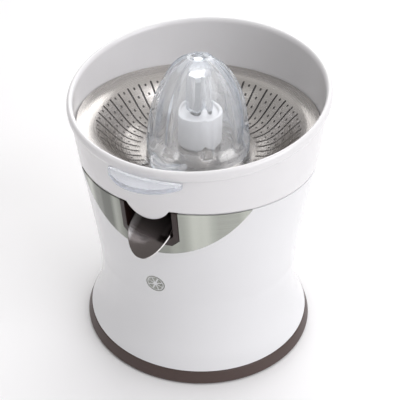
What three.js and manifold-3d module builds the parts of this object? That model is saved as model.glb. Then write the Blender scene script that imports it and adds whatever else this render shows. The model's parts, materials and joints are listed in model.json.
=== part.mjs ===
// Electric citrus juicer: oval hourglass housing on a dark base ring, a lift-off juice bowl with
// a slanted rim, a slotted steel strainer, a clear fluted reamer on a geared motor, and a steel
// spout that tips up to stop drips.
// Millimetres, +Z up. Every piece is drawn with the reamer's axis at x = y = 0 and then moved back so that
// the origin is under the middle of the whole object, on the table. The spout faces -Y.
import * as THREE from "three";
import { mergeVertices } from "three/addons/utils/BufferGeometryUtils.js";
import Module from "manifold-3d";

const wasm = await Module();
wasm.setup();

// ---------------------------------------------------------------- driving dimensions
const GAP = 0.3; // clearance between pieces that touch
const OVAL = 0.965; // depth of the body's sections as a share of their width
const WALL = 2.6; // moulded wall
const AROUND = 40; // facets round the body

const FOOT_H = 2.2;
const FOOT_R = 8;
const RING_Z = 0.8; // underside of the base ring above the table
const RING_TOP_Z = 10.3;
const RING_BOTTOM_R = 91;
const FOOT_PCD_R = RING_BOTTOM_R - 23;
const RING_TOP_R = RING_BOTTOM_R - 3.5;
const RING_LIP_H = 3.2; // locating lip that stands up inside the housing
const RING_LIP_T = 2.4;
const RING_SEAT_T = 2; // thickness of the ring above the edge of the base plate
const PLATE_T = 1.5;
const VENTS = 7;
const VENT_PITCH = 8;
const VENT_HALF_W = 2;
const VENT_HALF_L = 16;
const BASE_BOSS_R = 4.5;
const BASE_BOSS_TOP_Z = 44;
const BASE_SCREW_TIP_Z = 24;

const WAIST_Z = 66;
const WAIST_R = RING_BOTTOM_R - 15.3;
const FOOT_POWER = 3.1; // how sharply the housing flares into the base ring
const FLARE_POWER = 1.2; // how gently it flares up to the seam
const SEAM_Z = 151.8; // joint between housing and bowl
const SEAM_R = RING_BOTTOM_R - 6;
const DECK_Z = SEAM_Z - 8.3; // underside of the deck that carries the bowl
const DECK_T = 3;
const DECK_BOSS_R = 16;
const DECK_BOSS_H = 3; // how far the boss round the shaft hangs below the deck

const RIM_Z = SEAM_Z + 47.6; // middle of the rim
const RIM_R = SEAM_R + 5;
const RIM_TILT = THREE.MathUtils.degToRad(9.86);
const SHEAR_Z = SEAM_Z + 13.2; // the wall is upright below this height and slants above it
const LIP_H = 7.2;
const LIP_OUT = 2.6; // how far the rolled lip stands out of the wall
const UPPER_WALL = 1.9; // bowl wall above the seam
const FLOOR_T = 2.3;
const TAB_HALF = 25; // half width of the lift tab
const TAB_OUT = 10; // how far it stands out of the rim
const TAB_H = 3.6;
const CHIMNEY_R = 13.5;
const CHIMNEY_TOP_Z = SEAM_Z + 24.2;
const CHIMNEY_WALL = 3.5;

const PANEL_R = 70; // lower edge of the steel panel, an arc
const PANEL_Z = SEAM_Z + 32.2; // centre of that arc
const PANEL_T = 0.8;
const NOTCH_HALF = 20; // half width of the spout notch
const NOTCH_Z = SEAM_Z - 28.8;
const NOTCH_CHAMFER = 5;
const BEZEL = 3.4;
const POCKET_BACK_Y = -WAIST_R + 22.7; // back wall of the pocket behind the notch
const POCKET_WALL_T = 3;
const POCKET_LIP = 2; // how much nearer the front the pocket's floor ends than its underside
const POCKET_Z = NOTCH_Z - 3.6; // floor of that pocket
const CHUTE_R = NOTCH_HALF - 3.5; // juice chute under the bowl floor
const CHUTE_WALL = 2;
const CHUTE_SAG = 9; // how far the chute hangs below the seam
const STEP_Y = -SEAM_R + 12.7; // in front of this plane the notch reaches up to the seam
const OUTLET_R = 6;
const OUTLET_Y = -SEAM_R + 18;

const SPOUT_START_Y = POCKET_BACK_Y - 7;
const SPOUT_L = 34;
const SPOUT_START_Z = NOTCH_Z + 9.7;
const SPOUT_HALF = NOTCH_HALF - 5.4;
const SPOUT_DISH = 4.2; // how far the edges stand above the middle
const SPOUT_T = 1;
const SPOUT_SLOPE = 0.1;
const SPOUT_BEND = 0.0085; // per millimetre
const PIN_R = 1.5;
const PIN_Y = SPOUT_START_Y - 10 + NOTCH_HALF / 5; // a wider notch starts further back
const PIN_Z = NOTCH_Z + 1.3;
const PIN_SHORT = 1; // how far each end of the pin stays inside the liner
const LUG_X = SPOUT_HALF - 4.6;
const LUG_HALF_T = 1.2;
const LUG_EYE_WALL = 1.7;
const SPOUT_TIP_L = 3; // how much longer than a half circle the round tip is

const STRAINER_Z = SEAM_Z + 25.2;
const STRAINER_R = SEAM_R - 0.8;
const STRAINER_T = 1;
const STRAINER_FLOOR_Z = STRAINER_Z - 26.6;
const SLOTS = 42;
const SLOT_W = 1.5;
const SLOT_PHASE = 6.5; // degrees from the spout, towards -X
const SLOT_IN_R = 41; // where the slots start and end, measured from the shaft
const SLOT_OUT_R = 70;
const LEDGE_W = 2.6;
const LEDGE_T = 3;

const REAMER_R = 36.6;
const REAMER_Z = STRAINER_FLOOR_Z + 2;
const SKIRT_H = 7.4;
const REAMER_TOP_Z = REAMER_Z + 69.6;
const REAMER_WALL = 3;
const REAMER_DIP = 1.6; // how far the middle of the top lies below the dome's crown
const RIBS = 8;
const FLUTE = 0.2; // depth of a flute as a share of the radius
const FLUTE_RUN = 6; // height over which the flutes grow out of the skirt
const CREST_POWER = 0.7; // below 1 the ribs are rounder and the flutes sharper
const REAMER_STEP = 0.6; // how far the dome stands in from the skirt
const REAMER_PHASE = 11; // degrees from the spout, towards -X
const PADDLE_OUT = 10.5;
const PADDLE_R = 14;
const PADDLE_LIFT = 2.2; // underside of the paddles above the reamer's foot
const PADDLE_H = 4.4;
const HUB_R = 9;
const BUSH_R = CHIMNEY_R + 3.2;
const BUSH_Z = REAMER_Z + 6.1;
const BUSH_TOP_Z = CHIMNEY_TOP_Z + 5;
const SLEEVE_CLEAR = 0.5; // running clearance between the sleeve and the bowl's chimney

const GEARBOX_Z = DECK_Z - 46.5;
const SHAFT_R = 4;
const HEX_R = 4.6; // across corners, halved
const SHAFT_BOTTOM_Z = GEARBOX_Z - 3;
const SHAFT_TOP_Z = CHIMNEY_TOP_Z + 27;
const SHAFT_COLLAR_Z = DECK_Z - 5.7; // the return spring pushes up against this collar
const SHAFT_COLLAR_R = 7;
const SHAFT_COLLAR_H = 2.4;
const HUB_PROUD = 2; // how far the output gear's hub stands out of the gearbox
const SPRING_WIRE_R = 0.6;
const SPRING_R = 5.9;
const SPRING_TURNS = 3.5;
const SEAL_R = CHIMNEY_R - 4;
const SEAL_H = 4.4;
const PRESS = 1.5; // travel of the shaft when the fruit is pressed down
const GEARBOX_FLOOR_T = 2.6;
const GEARBOX_H = 26.7;
const GEARBOX_WALL = 2;
const COVER_T = 3;
const GEAR_CLEAR = 1.2;

const MODULE_FAST = 1;
const PINION_TEETH = 12;
const WHEEL_TEETH = 48;
const MODULE_SLOW = 1.25;
const SMALL_TEETH = 14;
const OUTPUT_TEETH = 56;
const WHEEL_Z = GEARBOX_Z + 6;
const WHEEL_W = 7;
const OUTPUT_Z = GEARBOX_Z + 16;
const OUTPUT_W = 8;
const AXLE_R = 2.5;
const ADDENDUM = 0.9; // in modules
const DEDENDUM = 1.25;
const TIP_SHARE = 0.11; // half a tooth's width at its tip, as a share of the pitch
const ROOT_SHARE = 0.27; // and at its root
const HUB_OUT_R = 8;
const BUSH_LOW_R = 7;
const BUSH_HIGH_R = 10.6;

const MOTOR_Y = 38;
const MOTOR_R = 29;
const MOTOR_TOP_Z = GEARBOX_Z - 1.5;
const MOTOR_Z = MOTOR_TOP_Z - 57.5;
const MOTOR_WALL = 1.5;
const MOTOR_LID_T = 2.5;
const MOTOR_SHAFT_R = 2.5;
const MOTOR_SHAFT_BOTTOM_Z = MOTOR_Z - 17;
const MOTOR_SCREW_X = 14; // the two screws that hold the motor under the gearbox
const MOTOR_SCREW_Y = 10;
const BEARING_R = 7;
const BELL_T = 3;
const CORE_R = 15;
const CORE_H = 34;
const STACK_Z = MOTOR_Z + 12;
const AIR_GAP = 0.8; // between rotor and stator
const WINDING_H = 6;
const WINDING_IN = 3; // how far the winding's inside stands back from the rotor
const FAN_R = 24;
const FAN_H = 9;
const FAN_T = 1.4;
const FAN_HUB_R = 6;
const FAN_BLADES = 8;

const CORD_R = 3.3;
const GLAND_R = 6;
const GLAND_Z = 30;
const GLAND_LIP = 2; // how far its flange stands out round the hole
const GLAND_FLANGE_T = 2;
const GLAND_INSIDE_L = 4; // how far it reaches in past the wall

const SWITCH_TOP_Z = SHAFT_BOTTOM_Z - 4;
const SWITCH_H = 12;
const SWITCH_HALF_X = 10;
const PLUNGER_R = 2;
const PLUNGER_BORE_H = 8;
const BRACKET_HALF_X = 8;
const BRACKET_T = 1.2;
const BRACKET_FOOT_L = 12;

const SCREW_R = 1.6;
const SCREW_HEAD_R = 3;
const SCREW_HEAD_H = 1.7;
const OVERCUT = 1; // how far a cutting tool reaches past the face that it cuts
const FAR = 20; // how far a slab reaches past the whole body

// ---------------------------------------------------------------- materials
const finish = (color, roughness, metalness) => ({ color, roughness, metalness });
const WHITE = finish(0xeeeef0, 0.28, 0);
const DARK = finish(0x4b3f3c, 0.5, 0);
const LINER = finish(0x2c1f1d, 0.45, 0);
const RUBBER = finish(0x222222, 0.9, 0);
const BRUSHED = finish(0x9c9c94, 0.32, 1);
const POLISHED = finish(0xb8b6b4, 0.1, 1);
const SATIN = finish(0xc6bdb2, 0.3, 1);
const CLEAR = finish(0xdfe8f2, 0.05, 0);
const NYLON = finish(0xe9e6df, 0.5, 0);
const STEEL = finish(0x8d9094, 0.35, 1);
const BRONZE = finish(0xa9793f, 0.4, 1);
const COPPER = finish(0xb4632f, 0.4, 1);
const CAST = finish(0xd8d5cc, 0.6, 0);
const BLACK = finish(0x1b1b1d, 0.6, 0);

// ---------------------------------------------------------------- solids
// A three.js geometry as a closed solid that faces outwards.
function solid(geometry) {
  const bare = geometry.index ? geometry.toNonIndexed() : geometry.clone();
  bare.deleteAttribute("normal");
  bare.deleteAttribute("uv");
  const merged = mergeVertices(bare, 1e-4);
  const index = merged.index.array;
  const kept = [];
  for (let i = 0; i < index.length; i += 3) {
    const [a, b, c] = [index[i], index[i + 1], index[i + 2]];
    if (a !== b && b !== c && c !== a) kept.push(a, b, c);
  }
  const build = (triangles) =>
    new wasm.Manifold(
      new wasm.Mesh({
        numProp: 3,
        vertProperties: new Float32Array(merged.attributes.position.array),
        triVerts: new Uint32Array(triangles),
      }),
    );
  const made = build(kept);
  return made.volume() > 0 ? made : build(kept.reverse());
}

// A solid as a three.js geometry.
function geometryOf(made) {
  const mesh = made.getMesh();
  const geometry = new THREE.BufferGeometry();
  geometry.setAttribute("position", new THREE.BufferAttribute(mesh.vertProperties, 3));
  geometry.setIndex(new THREE.BufferAttribute(mesh.triVerts, 1));
  geometry.computeVertexNormals();
  return geometry;
}

const union = (first, ...rest) => rest.reduce((sum, next) => sum.add(next), first);
const cut = (first, ...rest) => rest.reduce((left, next) => left.subtract(next), first);

// A profile of [radius, height] points turned round the Z axis.
function turned(profile, around = AROUND, oval = 1) {
  const points = profile.map(([r, z]) => new THREE.Vector2(r, z));
  const geometry = new THREE.LatheGeometry(points, around);
  return solid(geometry.rotateX(Math.PI / 2).scale(1, oval, 1));
}

// An upright cylinder, or a prism when it has few sides.
function rod(r, z0, z1, x = 0, y = 0, sides = 16) {
  const geometry = new THREE.CylinderGeometry(r, r, z1 - z0, sides).rotateX(Math.PI / 2);
  return solid(geometry.translate(x, y, (z0 + z1) / 2));
}

function tube(inner, outer, z0, z1, x = 0, y = 0, sides = 16) {
  return cut(rod(outer, z0, z1, x, y, sides), rod(inner, z0 - 1, z1 + 1, x, y, sides));
}

// A cylinder that lies along X, or along Y.
function barAlongX(r, x0, x1, y, z, sides = 16) {
  const geometry = new THREE.CylinderGeometry(r, r, x1 - x0, sides).rotateZ(Math.PI / 2);
  return solid(geometry.translate((x0 + x1) / 2, y, z));
}

function barAlongY(r, y0, y1, x, z, sides = 24) {
  const geometry = new THREE.CylinderGeometry(r, r, y1 - y0, sides);
  return solid(geometry.translate(x, (y0 + y1) / 2, z));
}

function block(x0, x1, y0, y1, z0, z1) {
  const geometry = new THREE.BoxGeometry(x1 - x0, y1 - y0, z1 - z0);
  return solid(geometry.translate((x0 + x1) / 2, (y0 + y1) / 2, (z0 + z1) / 2));
}

// An outline in X and Z, extruded from y0 to y1.
function slab(outline, y0, y1) {
  const shape = new THREE.Shape(outline.map(([x, z]) => new THREE.Vector2(x, z)));
  const geometry = new THREE.ExtrudeGeometry(shape, { depth: y1 - y0, bevelEnabled: false });
  return solid(geometry.rotateX(Math.PI / 2).translate(0, y1, 0));
}

// The same solid turned round the Z axis, by degrees counted from the spout towards -X.
const facing = (made, degrees) => made.rotate([0, 0, -degrees]);

const around = (count, phase = 0) =>
  Array.from({ length: count }, (_, i) => phase + (i * 360) / count);

// ---------------------------------------------------------------- body outline
// Half width of the housing at a height.
function bodyRadius(z) {
  if (z < WAIST_Z) {
    const t = (WAIST_Z - z) / (WAIST_Z - RING_TOP_Z);
    return WAIST_R + (RING_TOP_R - WAIST_R) * t ** FOOT_POWER;
  }
  const t = (z - WAIST_Z) / (SEAM_Z - WAIST_Z);
  return WAIST_R + (SEAM_R - WAIST_R) * t ** FLARE_POWER;
}

const HOUSING_BOTTOM_Z = RING_TOP_Z + GAP;
const HOUSING_TOP_Z = SEAM_Z - GAP;
const HOUSING_STEPS = [
  ...[0, 0.14, 0.34, 0.64].map((t) => HOUSING_BOTTOM_Z + (WAIST_Z - HOUSING_BOTTOM_Z) * t),
  ...[0, 0.5, 1].map((t) => WAIST_Z + (HOUSING_TOP_Z - WAIST_Z) * t),
];

// The solid bounded by the housing's outside, moved outwards by an offset.
function bodyCore(offset, steps = HOUSING_STEPS) {
  const side = steps.map((z) => [bodyRadius(z) + offset, z]);
  return turned([[0, steps[0]], ...side, [0, steps.at(-1)]], AROUND, OVAL);
}

// The notch in front view, grown by an offset.
function notchOutline(offset, bottom = NOTCH_Z, top = SEAM_Z + 10) {
  const half = NOTCH_HALF + offset;
  const low = bottom - offset;
  return [
    [-half, top],
    [-half, low + NOTCH_CHAMFER],
    [-half + NOTCH_CHAMFER, low],
    [half - NOTCH_CHAMFER, low],
    [half, low + NOTCH_CHAMFER],
    [half, top],
  ];
}

// The crescent of the steel panel in front view: an arc closed by the seam.
function crescentOutline(offset) {
  const top = SEAM_Z + 10;
  const r = PANEL_R + offset;
  const half = Math.acos((PANEL_Z - top) / r);
  const steps = 24;
  return Array.from({ length: steps + 1 }, (_, i) => {
    const angle = -half + (2 * half * i) / steps;
    return [r * Math.sin(angle), PANEL_Z - r * Math.cos(angle)];
  });
}

const FRONT_Y = -RIM_R - FAR; // in front of everything
const POCKET_WALL_Y = POCKET_BACK_Y + POCKET_WALL_T;
const PANEL_BACK_Y = -20; // the panel only wraps the front half
const DECK_TOP_Z = DECK_Z + DECK_T;
const BOSS_RING_R = RING_BOTTOM_R - 18;
const MOUNT_OUT = 4.5; // how far the ears' centres stand outside the gearbox wall
const gearRoom = (teeth, module) => (teeth * module) / 2 + module + GEAR_CLEAR;
const OUTPUT_ROOM = gearRoom(OUTPUT_TEETH, MODULE_SLOW);
const WHEEL_ROOM = gearRoom(WHEEL_TEETH, MODULE_FAST);
const PINION_ROOM = gearRoom(PINION_TEETH, MODULE_FAST);

// A place just outside one of the gearbox's circles.
function besideGearbox(room, y, degrees) {
  const a = THREE.MathUtils.degToRad(degrees);
  const r = room + GEARBOX_WALL + MOUNT_OUT;
  return [r * Math.cos(a), y + r * Math.sin(a)];
}
const MOUNT_AT = [
  besideGearbox(OUTPUT_ROOM, 0, -15),
  besideGearbox(OUTPUT_ROOM, 0, -115),
  besideGearbox(OUTPUT_ROOM, 0, 155),
  besideGearbox(PINION_ROOM, MOTOR_Y, 113),
];
const MOUNT_EAR_R = 6;
const MOUNT_POST_R = 5;
const COVER_Z = GEARBOX_Z + GEARBOX_H + GAP;
const GROMMET_Z = COVER_Z + COVER_T + GAP;
const GROMMET_H = 5;

// ---------------------------------------------------------------- base
function baseRing() {
  const seat = bodyRadius(HOUSING_BOTTOM_Z) - WALL;
  const lip = seat - RING_LIP_H;
  const inner = lip - RING_LIP_T;
  const ledge = PLATE_Z + RING_SEAT_T;
  return turned(
    [
      [seat, RING_Z],
      [RING_BOTTOM_R, RING_Z],
      [RING_TOP_R, RING_TOP_Z],
      [lip, RING_TOP_Z],
      [lip, RING_TOP_Z + RING_LIP_H],
      [inner, RING_TOP_Z + RING_LIP_H],
      [inner, ledge],
      [seat, ledge],
      [seat, RING_Z],
    ],
    AROUND,
    OVAL,
  );
}

const PLATE_Z = FOOT_H + GAP;
const VENT_Y = MOTOR_Y - 4;
const BASE_CORNERS = around(4, 45);
const cornerAt = (radius, degrees) => {
  const a = THREE.MathUtils.degToRad(degrees);
  return [radius * Math.cos(a), radius * OVAL * Math.sin(a)];
};
const FOOT_STEM_R = 3;
const SCREW_TURN = 16; // degrees from the base's corners to its screws
const FOOT_TURN = -8;
const SCREW_AT = BASE_CORNERS.map((degrees) => cornerAt(BOSS_RING_R, degrees + SCREW_TURN));
const FOOT_AT = BASE_CORNERS.map((degrees) => cornerAt(FOOT_PCD_R, degrees + FOOT_TURN));

function basePlate() {
  const r = bodyRadius(HOUSING_BOTTOM_Z) - WALL - GAP;
  let plate = turned(
    [
      [0, PLATE_Z],
      [r, PLATE_Z],
      [r, PLATE_Z + PLATE_T],
      [0, PLATE_Z + PLATE_T],
    ],
    AROUND,
    OVAL,
  );
  const low = PLATE_Z - OVERCUT;
  const high = PLATE_Z + PLATE_T + OVERCUT;
  for (const [x, y] of FOOT_AT) plate = cut(plate, rod(FOOT_STEM_R + GAP, low, high, x, y, 12));
  for (const [x, y] of SCREW_AT) plate = cut(plate, rod(SCREW_R + GAP, low, high, x, y, 12));
  for (let i = 0; i < VENTS; i += 1) {
    const x = (i - (VENTS - 1) / 2) * VENT_PITCH;
    const [back, front] = [VENT_Y + VENT_HALF_L, VENT_Y - VENT_HALF_L];
    plate = cut(plate, block(x - VENT_HALF_W, x + VENT_HALF_W, front, back, low, high));
  }
  return plate;
}

function foot([x, y]) {
  const pad = rod(FOOT_R, 0, FOOT_H, x, y, 20);
  return union(pad, rod(FOOT_STEM_R, FOOT_H / 2, PLATE_Z + PLATE_T + 1, x, y, 12));
}

// A screw driven upwards: a pan head below a shank.
function screw([x, y], headZ, headH, tipZ) {
  const head = rod(SCREW_HEAD_R, headZ, headZ + headH, x, y, 12);
  return union(head, rod(SCREW_R, headZ, tipZ, x, y, 12));
}

// ---------------------------------------------------------------- housing
function housing() {
  const outer = HOUSING_STEPS.map((z) => [bodyRadius(z), z]);
  const inner = HOUSING_STEPS.map((z) => [bodyRadius(z) - WALL, z]).reverse();
  let shell = turned([...outer, ...inner, outer[0]], AROUND, OVAL);
  const deckR = bodyRadius(DECK_Z) - WALL / 2;
  const deck = turned(
    [
      [0, DECK_Z],
      [deckR, DECK_Z],
      [deckR, DECK_TOP_Z],
      [0, DECK_TOP_Z],
    ],
    AROUND,
    OVAL,
  );
  shell = union(shell, deck, rod(DECK_BOSS_R, DECK_Z - DECK_BOSS_H, DECK_TOP_Z));
  for (const [x, y] of MOUNT_AT) {
    const post = GROMMET_Z + GROMMET_H + GAP;
    const bore = rod(SCREW_R + GAP, post - OVERCUT, DECK_Z - 2 * OVERCUT, x, y, 12);
    shell = cut(union(shell, rod(MOUNT_POST_R, post, DECK_TOP_Z - OVERCUT, x, y, 16)), bore);
  }
  for (const [x, y] of SCREW_AT) {
    const boss = rod(BASE_BOSS_R, HOUSING_BOTTOM_Z, BASE_BOSS_TOP_Z, x, y, 16);
    const bore = rod(SCREW_R + GAP, 0, BASE_SCREW_TIP_Z + SCREW_R, x, y, 12);
    shell = cut(union(shell, boss.intersect(bodyCore(-WALL / 2))), bore);
  }
  shell = cut(shell, rod(SEAL_R + GAP, DECK_Z - DECK_BOSS_H - OVERCUT, DECK_TOP_Z + OVERCUT));
  shell = cut(shell, slab(notchOutline(GAP), FRONT_Y, POCKET_WALL_Y + GAP));
  const recess = cut(bodyCore(2), bodyCore(-PANEL_T - GAP));
  shell = cut(shell, recess.intersect(slab(crescentOutline(GAP), FRONT_Y, PANEL_BACK_Y)));
  shell = cut(shell, barAlongY(GLAND_R + GAP, WAIST_R / 2, RING_BOTTOM_R, 0, GLAND_Z));
  return shell;
}

function frontPanel() {
  const skin = cut(bodyCore(0), bodyCore(-PANEL_T));
  const crescent = skin.intersect(slab(crescentOutline(0), FRONT_Y, PANEL_BACK_Y));
  return cut(crescent, slab(notchOutline(GAP), FRONT_Y, 0));
}

const BEZEL_PROUD = 0.6;
const POCKET_T = 2.4; // thickness of the pocket's floor
// Where the housing's inside face lies in front, at a distance to the side and a height.
const innerFrontY = (x, z) => -OVAL * Math.sqrt((bodyRadius(z) - WALL) ** 2 - x * x);
// The pocket reaches lower than the notch behind this plane.
const POCKET_FRONT_Y = innerFrontY(NOTCH_HALF, POCKET_Z - POCKET_T) + 3 * GAP;

function notchLiner() {
  const frame = slab(notchOutline(0), FRONT_Y, POCKET_WALL_Y);
  const pocket = block(
    -NOTCH_HALF,
    NOTCH_HALF,
    POCKET_FRONT_Y,
    POCKET_WALL_Y,
    POCKET_Z - POCKET_T,
    DECK_TOP_Z,
  );
  let liner = union(frame, pocket).intersect(bodyCore(BEZEL_PROUD));
  liner = cut(liner, block(-RIM_R, RIM_R, STEP_Y - GAP, 0, DECK_TOP_Z, RIM_Z));
  liner = cut(liner, slab(notchOutline(-BEZEL), FRONT_Y, POCKET_BACK_Y));
  const inside = NOTCH_HALF - BEZEL;
  const front = POCKET_FRONT_Y + POCKET_LIP;
  liner = cut(liner, block(-inside, inside, front, POCKET_BACK_Y, POCKET_Z, DECK_TOP_Z));
  return cut(liner, barAlongX(PIN_R + GAP, -NOTCH_HALF - OVERCUT, NOTCH_HALF + OVERCUT, PIN_Y, PIN_Z));
}

const spoutPin = () => barAlongX(PIN_R, -NOTCH_HALF + PIN_SHORT, NOTCH_HALF - PIN_SHORT, PIN_Y, PIN_Z);

// ---------------------------------------------------------------- spout
// Height of the trough's underside at a distance along it.
const troughZ = (s) => SPOUT_START_Z - SPOUT_SLOPE * s - SPOUT_BEND * s * s;

// Half width of the trough at a distance along it: parallel, then a round tip.
function troughHalf(s) {
  const roundFrom = SPOUT_L - SPOUT_HALF - SPOUT_TIP_L;
  if (s <= roundFrom) return SPOUT_HALF;
  const t = (s - roundFrom) / (SPOUT_L - roundFrom);
  return SPOUT_HALF * Math.sqrt(1 - (0.985 * t) ** 2);
}

function spoutTrough() {
  const stations = [0, 7, 14, 20, 25, 29, 32, 33.4, SPOUT_L];
  const across = 6;
  const top = [];
  const bottom = [];
  for (const s of stations) {
    for (let j = 0; j <= across; j += 1) {
      const v = (2 * j) / across - 1;
      const x = v * troughHalf(s);
      const lift = SPOUT_DISH * (x / SPOUT_HALF) ** 2;
      const z = troughZ(s) + lift;
      bottom.push([x, SPOUT_START_Y - s, z]);
      top.push([x, SPOUT_START_Y - s, z + SPOUT_T]);
    }
  }
  return sheet(top, bottom, stations.length, across + 1);
}

// Two grids of points, one above the other, closed round their edges.
function sheet(top, bottom, rows, columns) {
  const position = [...top, ...bottom].flat();
  const count = rows * columns;
  const index = [];
  const quad = (a, b, c, d) => index.push(a, b, c, a, c, d);
  for (let i = 0; i < rows - 1; i += 1) {
    for (let j = 0; j < columns - 1; j += 1) {
      const a = i * columns + j;
      quad(a, a + 1, a + columns + 1, a + columns);
      quad(a + count, a + columns + count, a + columns + 1 + count, a + 1 + count);
    }
  }
  for (let j = 0; j < columns - 1; j += 1) {
    const last = (rows - 1) * columns + j;
    quad(j + 1, j, j + count, j + 1 + count);
    quad(last, last + 1, last + 1 + count, last + count);
  }
  for (let i = 0; i < rows - 1; i += 1) {
    const a = i * columns;
    const b = a + columns - 1;
    quad(a, a + columns, a + columns + count, a + count);
    quad(b + columns, b, b + count, b + columns + count);
  }
  const geometry = new THREE.BufferGeometry();
  geometry.setAttribute("position", new THREE.Float32BufferAttribute(position, 3));
  geometry.setIndex(index);
  return solid(geometry);
}

function spout() {
  let made = spoutTrough();
  const eyeR = PIN_R + LUG_EYE_WALL;
  const lugTop = troughZ(SPOUT_START_Y - PIN_Y) + 2 * SPOUT_T + 0.2;
  for (const x of [-LUG_X, LUG_X]) {
    const [left, right] = [x - LUG_HALF_T, x + LUG_HALF_T];
    const web = block(left, right, PIN_Y - 0.8 * eyeR, PIN_Y + 0.8 * eyeR, PIN_Z, lugTop);
    made = union(made, web, barAlongX(eyeR, left, right, PIN_Y, PIN_Z));
  }
  return cut(made, barAlongX(PIN_R + GAP, -SPOUT_HALF, SPOUT_HALF, PIN_Y, PIN_Z));
}

// ---------------------------------------------------------------- bowl
const BOWL_BOTTOM_Z = DECK_TOP_Z + GAP;
const BOWL_SEAT_R = bodyRadius(BOWL_BOTTOM_Z) - WALL - 2 * GAP;

// Slants the wall: points above SHEAR_Z rise towards the back and drop towards the spout.
function slanted(made) {
  const lipZ = RIM_Z - LIP_H;
  const slope = Math.tan(RIM_TILT);
  return made.warp((p) => {
    const t = THREE.MathUtils.clamp((p[2] - SHEAR_Z) / (lipZ - SHEAR_Z), 0, 1);
    p[2] += t * p[1] * slope;
  });
}

function bowlWall() {
  const wallTop = RIM_R - LIP_OUT;
  const lipZ = RIM_Z - LIP_H;
  const middle = SEAM_R + 0.6 * (wallTop - SEAM_R);
  return turned(
    [
      [BOWL_SEAT_R - WALL, BOWL_BOTTOM_Z],
      [BOWL_SEAT_R, BOWL_BOTTOM_Z],
      [BOWL_SEAT_R, SEAM_Z + GAP],
      [SEAM_R, SEAM_Z + GAP],
      [middle, SHEAR_Z],
      [wallTop, lipZ],
      [RIM_R - 0.7, lipZ + 0.8],
      [RIM_R, lipZ + LIP_H / 2],
      [RIM_R - 0.9, RIM_Z - 1],
      [RIM_R - 2.2, RIM_Z],
      [wallTop - UPPER_WALL + 0.8, RIM_Z - 0.6],
      [wallTop - UPPER_WALL, lipZ],
      [middle - UPPER_WALL, SHEAR_Z],
      [SEAM_R - WALL - 0.5, SEAM_Z + 2],
      [BOWL_SEAT_R - WALL, BOWL_BOTTOM_Z],
    ],
    AROUND,
    OVAL,
  );
}

const CHUTE_Z = SEAM_Z - CHUTE_SAG + CHUTE_R;
const FLOOR_TOP_Z = BOWL_BOTTOM_Z + FLOOR_T;
const CHUTE_BACK_Y = POCKET_BACK_Y - 5 * GAP;
const LEDGE_DROP = 1.6; // the strainer's rim hangs this far above the ledge, on its flange

function bowl() {
  const floor = turned(
    [
      [0, BOWL_BOTTOM_Z],
      [BOWL_SEAT_R - 1, BOWL_BOTTOM_Z],
      [BOWL_SEAT_R - 1, FLOOR_TOP_Z],
      [0, FLOOR_TOP_Z],
    ],
    AROUND,
    OVAL,
  );
  const ledgeR = STRAINER_R - LEDGE_W;
  const ledgeZ = STRAINER_Z - STRAINER_T - LEDGE_DROP;
  const ledgeOut = STRAINER_R + UPPER_WALL;
  const ledge = turned(
    [
      [ledgeR, ledgeZ],
      [ledgeR + 0.2, ledgeZ - LEDGE_T / 3],
      [ledgeOut - 0.4, ledgeZ - LEDGE_T - 1],
      [ledgeOut, ledgeZ - LEDGE_T],
      [ledgeOut, ledgeZ],
      [ledgeR, ledgeZ],
    ],
    AROUND,
    OVAL,
  );
  const skin = bodyCore(0, [CHUTE_Z - CHUTE_R - OVERCUT, SEAM_Z + OVERCUT]);
  const lobe = barAlongY(CHUTE_R, FRONT_Y, CHUTE_BACK_Y, 0, CHUTE_Z, 36);
  const lobeBelow = cut(lobe.intersect(skin), block(-RIM_R, RIM_R, -RIM_R, 0, SEAM_Z + 0.8, RIM_Z));
  const hollowFront = -bodyRadius(SEAM_Z) * OVAL + WALL + 0.6;
  const hollowBack = CHUTE_BACK_Y - CHUTE_WALL;
  const hollow = barAlongY(CHUTE_R - CHUTE_WALL, hollowFront, hollowBack, 0, CHUTE_Z, 36);
  const half = NOTCH_HALF + GAP;
  const under = SEAM_Z + GAP;
  const notch = block(-half, half, FRONT_Y, STEP_Y, DECK_Z, under);
  const hood = block(-half - WALL, half + WALL, FRONT_Y, STEP_Y + WALL, BOWL_BOTTOM_Z, under + WALL);
  const inside = turned(
    [
      [0, BOWL_BOTTOM_Z],
      [BOWL_SEAT_R - GAP, BOWL_BOTTOM_Z],
      [BOWL_SEAT_R - GAP, under],
      [SEAM_R - 1, under],
      [SEAM_R - 1, under + WALL],
      [0, under + WALL],
    ],
    AROUND,
    OVAL,
  );
  let made = cut(union(slanted(bowlWall()), ledge, floor), notch);
  made = union(made, cut(hood.intersect(inside), notch), lobeBelow);
  made = union(made, rod(CHIMNEY_R, BOWL_BOTTOM_Z, CHIMNEY_TOP_Z, 0, 0, 32));
  made = cut(made, cut(hollow, block(-RIM_R, RIM_R, -RIM_R, 0, SEAM_Z + 6, RIM_Z)));
  made = cut(made, rod(OUTLET_R, DECK_Z - FAR, FLOOR_TOP_Z, 0, OUTLET_Y, 20));
  return cut(made, rod(CHIMNEY_R - CHIMNEY_WALL, DECK_Z, CHIMNEY_TOP_Z + OVERCUT, 0, 0, 32));
}

// A crescent of clear plastic under the lip, above the spout.
function liftTab() {
  const chordY = RIM_R * OVAL * Math.cos(Math.asin(TAB_HALF / RIM_R));
  const tipY = RIM_R * OVAL + TAB_OUT;
  const sag = tipY - chordY;
  const r = (TAB_HALF ** 2 + sag ** 2) / (2 * sag);
  const lipFrontZ = RIM_Z - LIP_H - RIM_R * OVAL * Math.tan(RIM_TILT);
  const top = lipFrontZ - GAP;
  const disc = rod(r, top - TAB_H, top, 0, -(tipY - r), 48);
  const wallR = RIM_R - LIP_OUT + GAP;
  const [low, high] = [top - TAB_H - OVERCUT, top + OVERCUT];
  const wall = turned(
    [
      [0, low],
      [wallR, low],
      [wallR, high],
      [0, high],
    ],
    AROUND,
    OVAL,
  );
  return cut(disc, wall);
}

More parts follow.
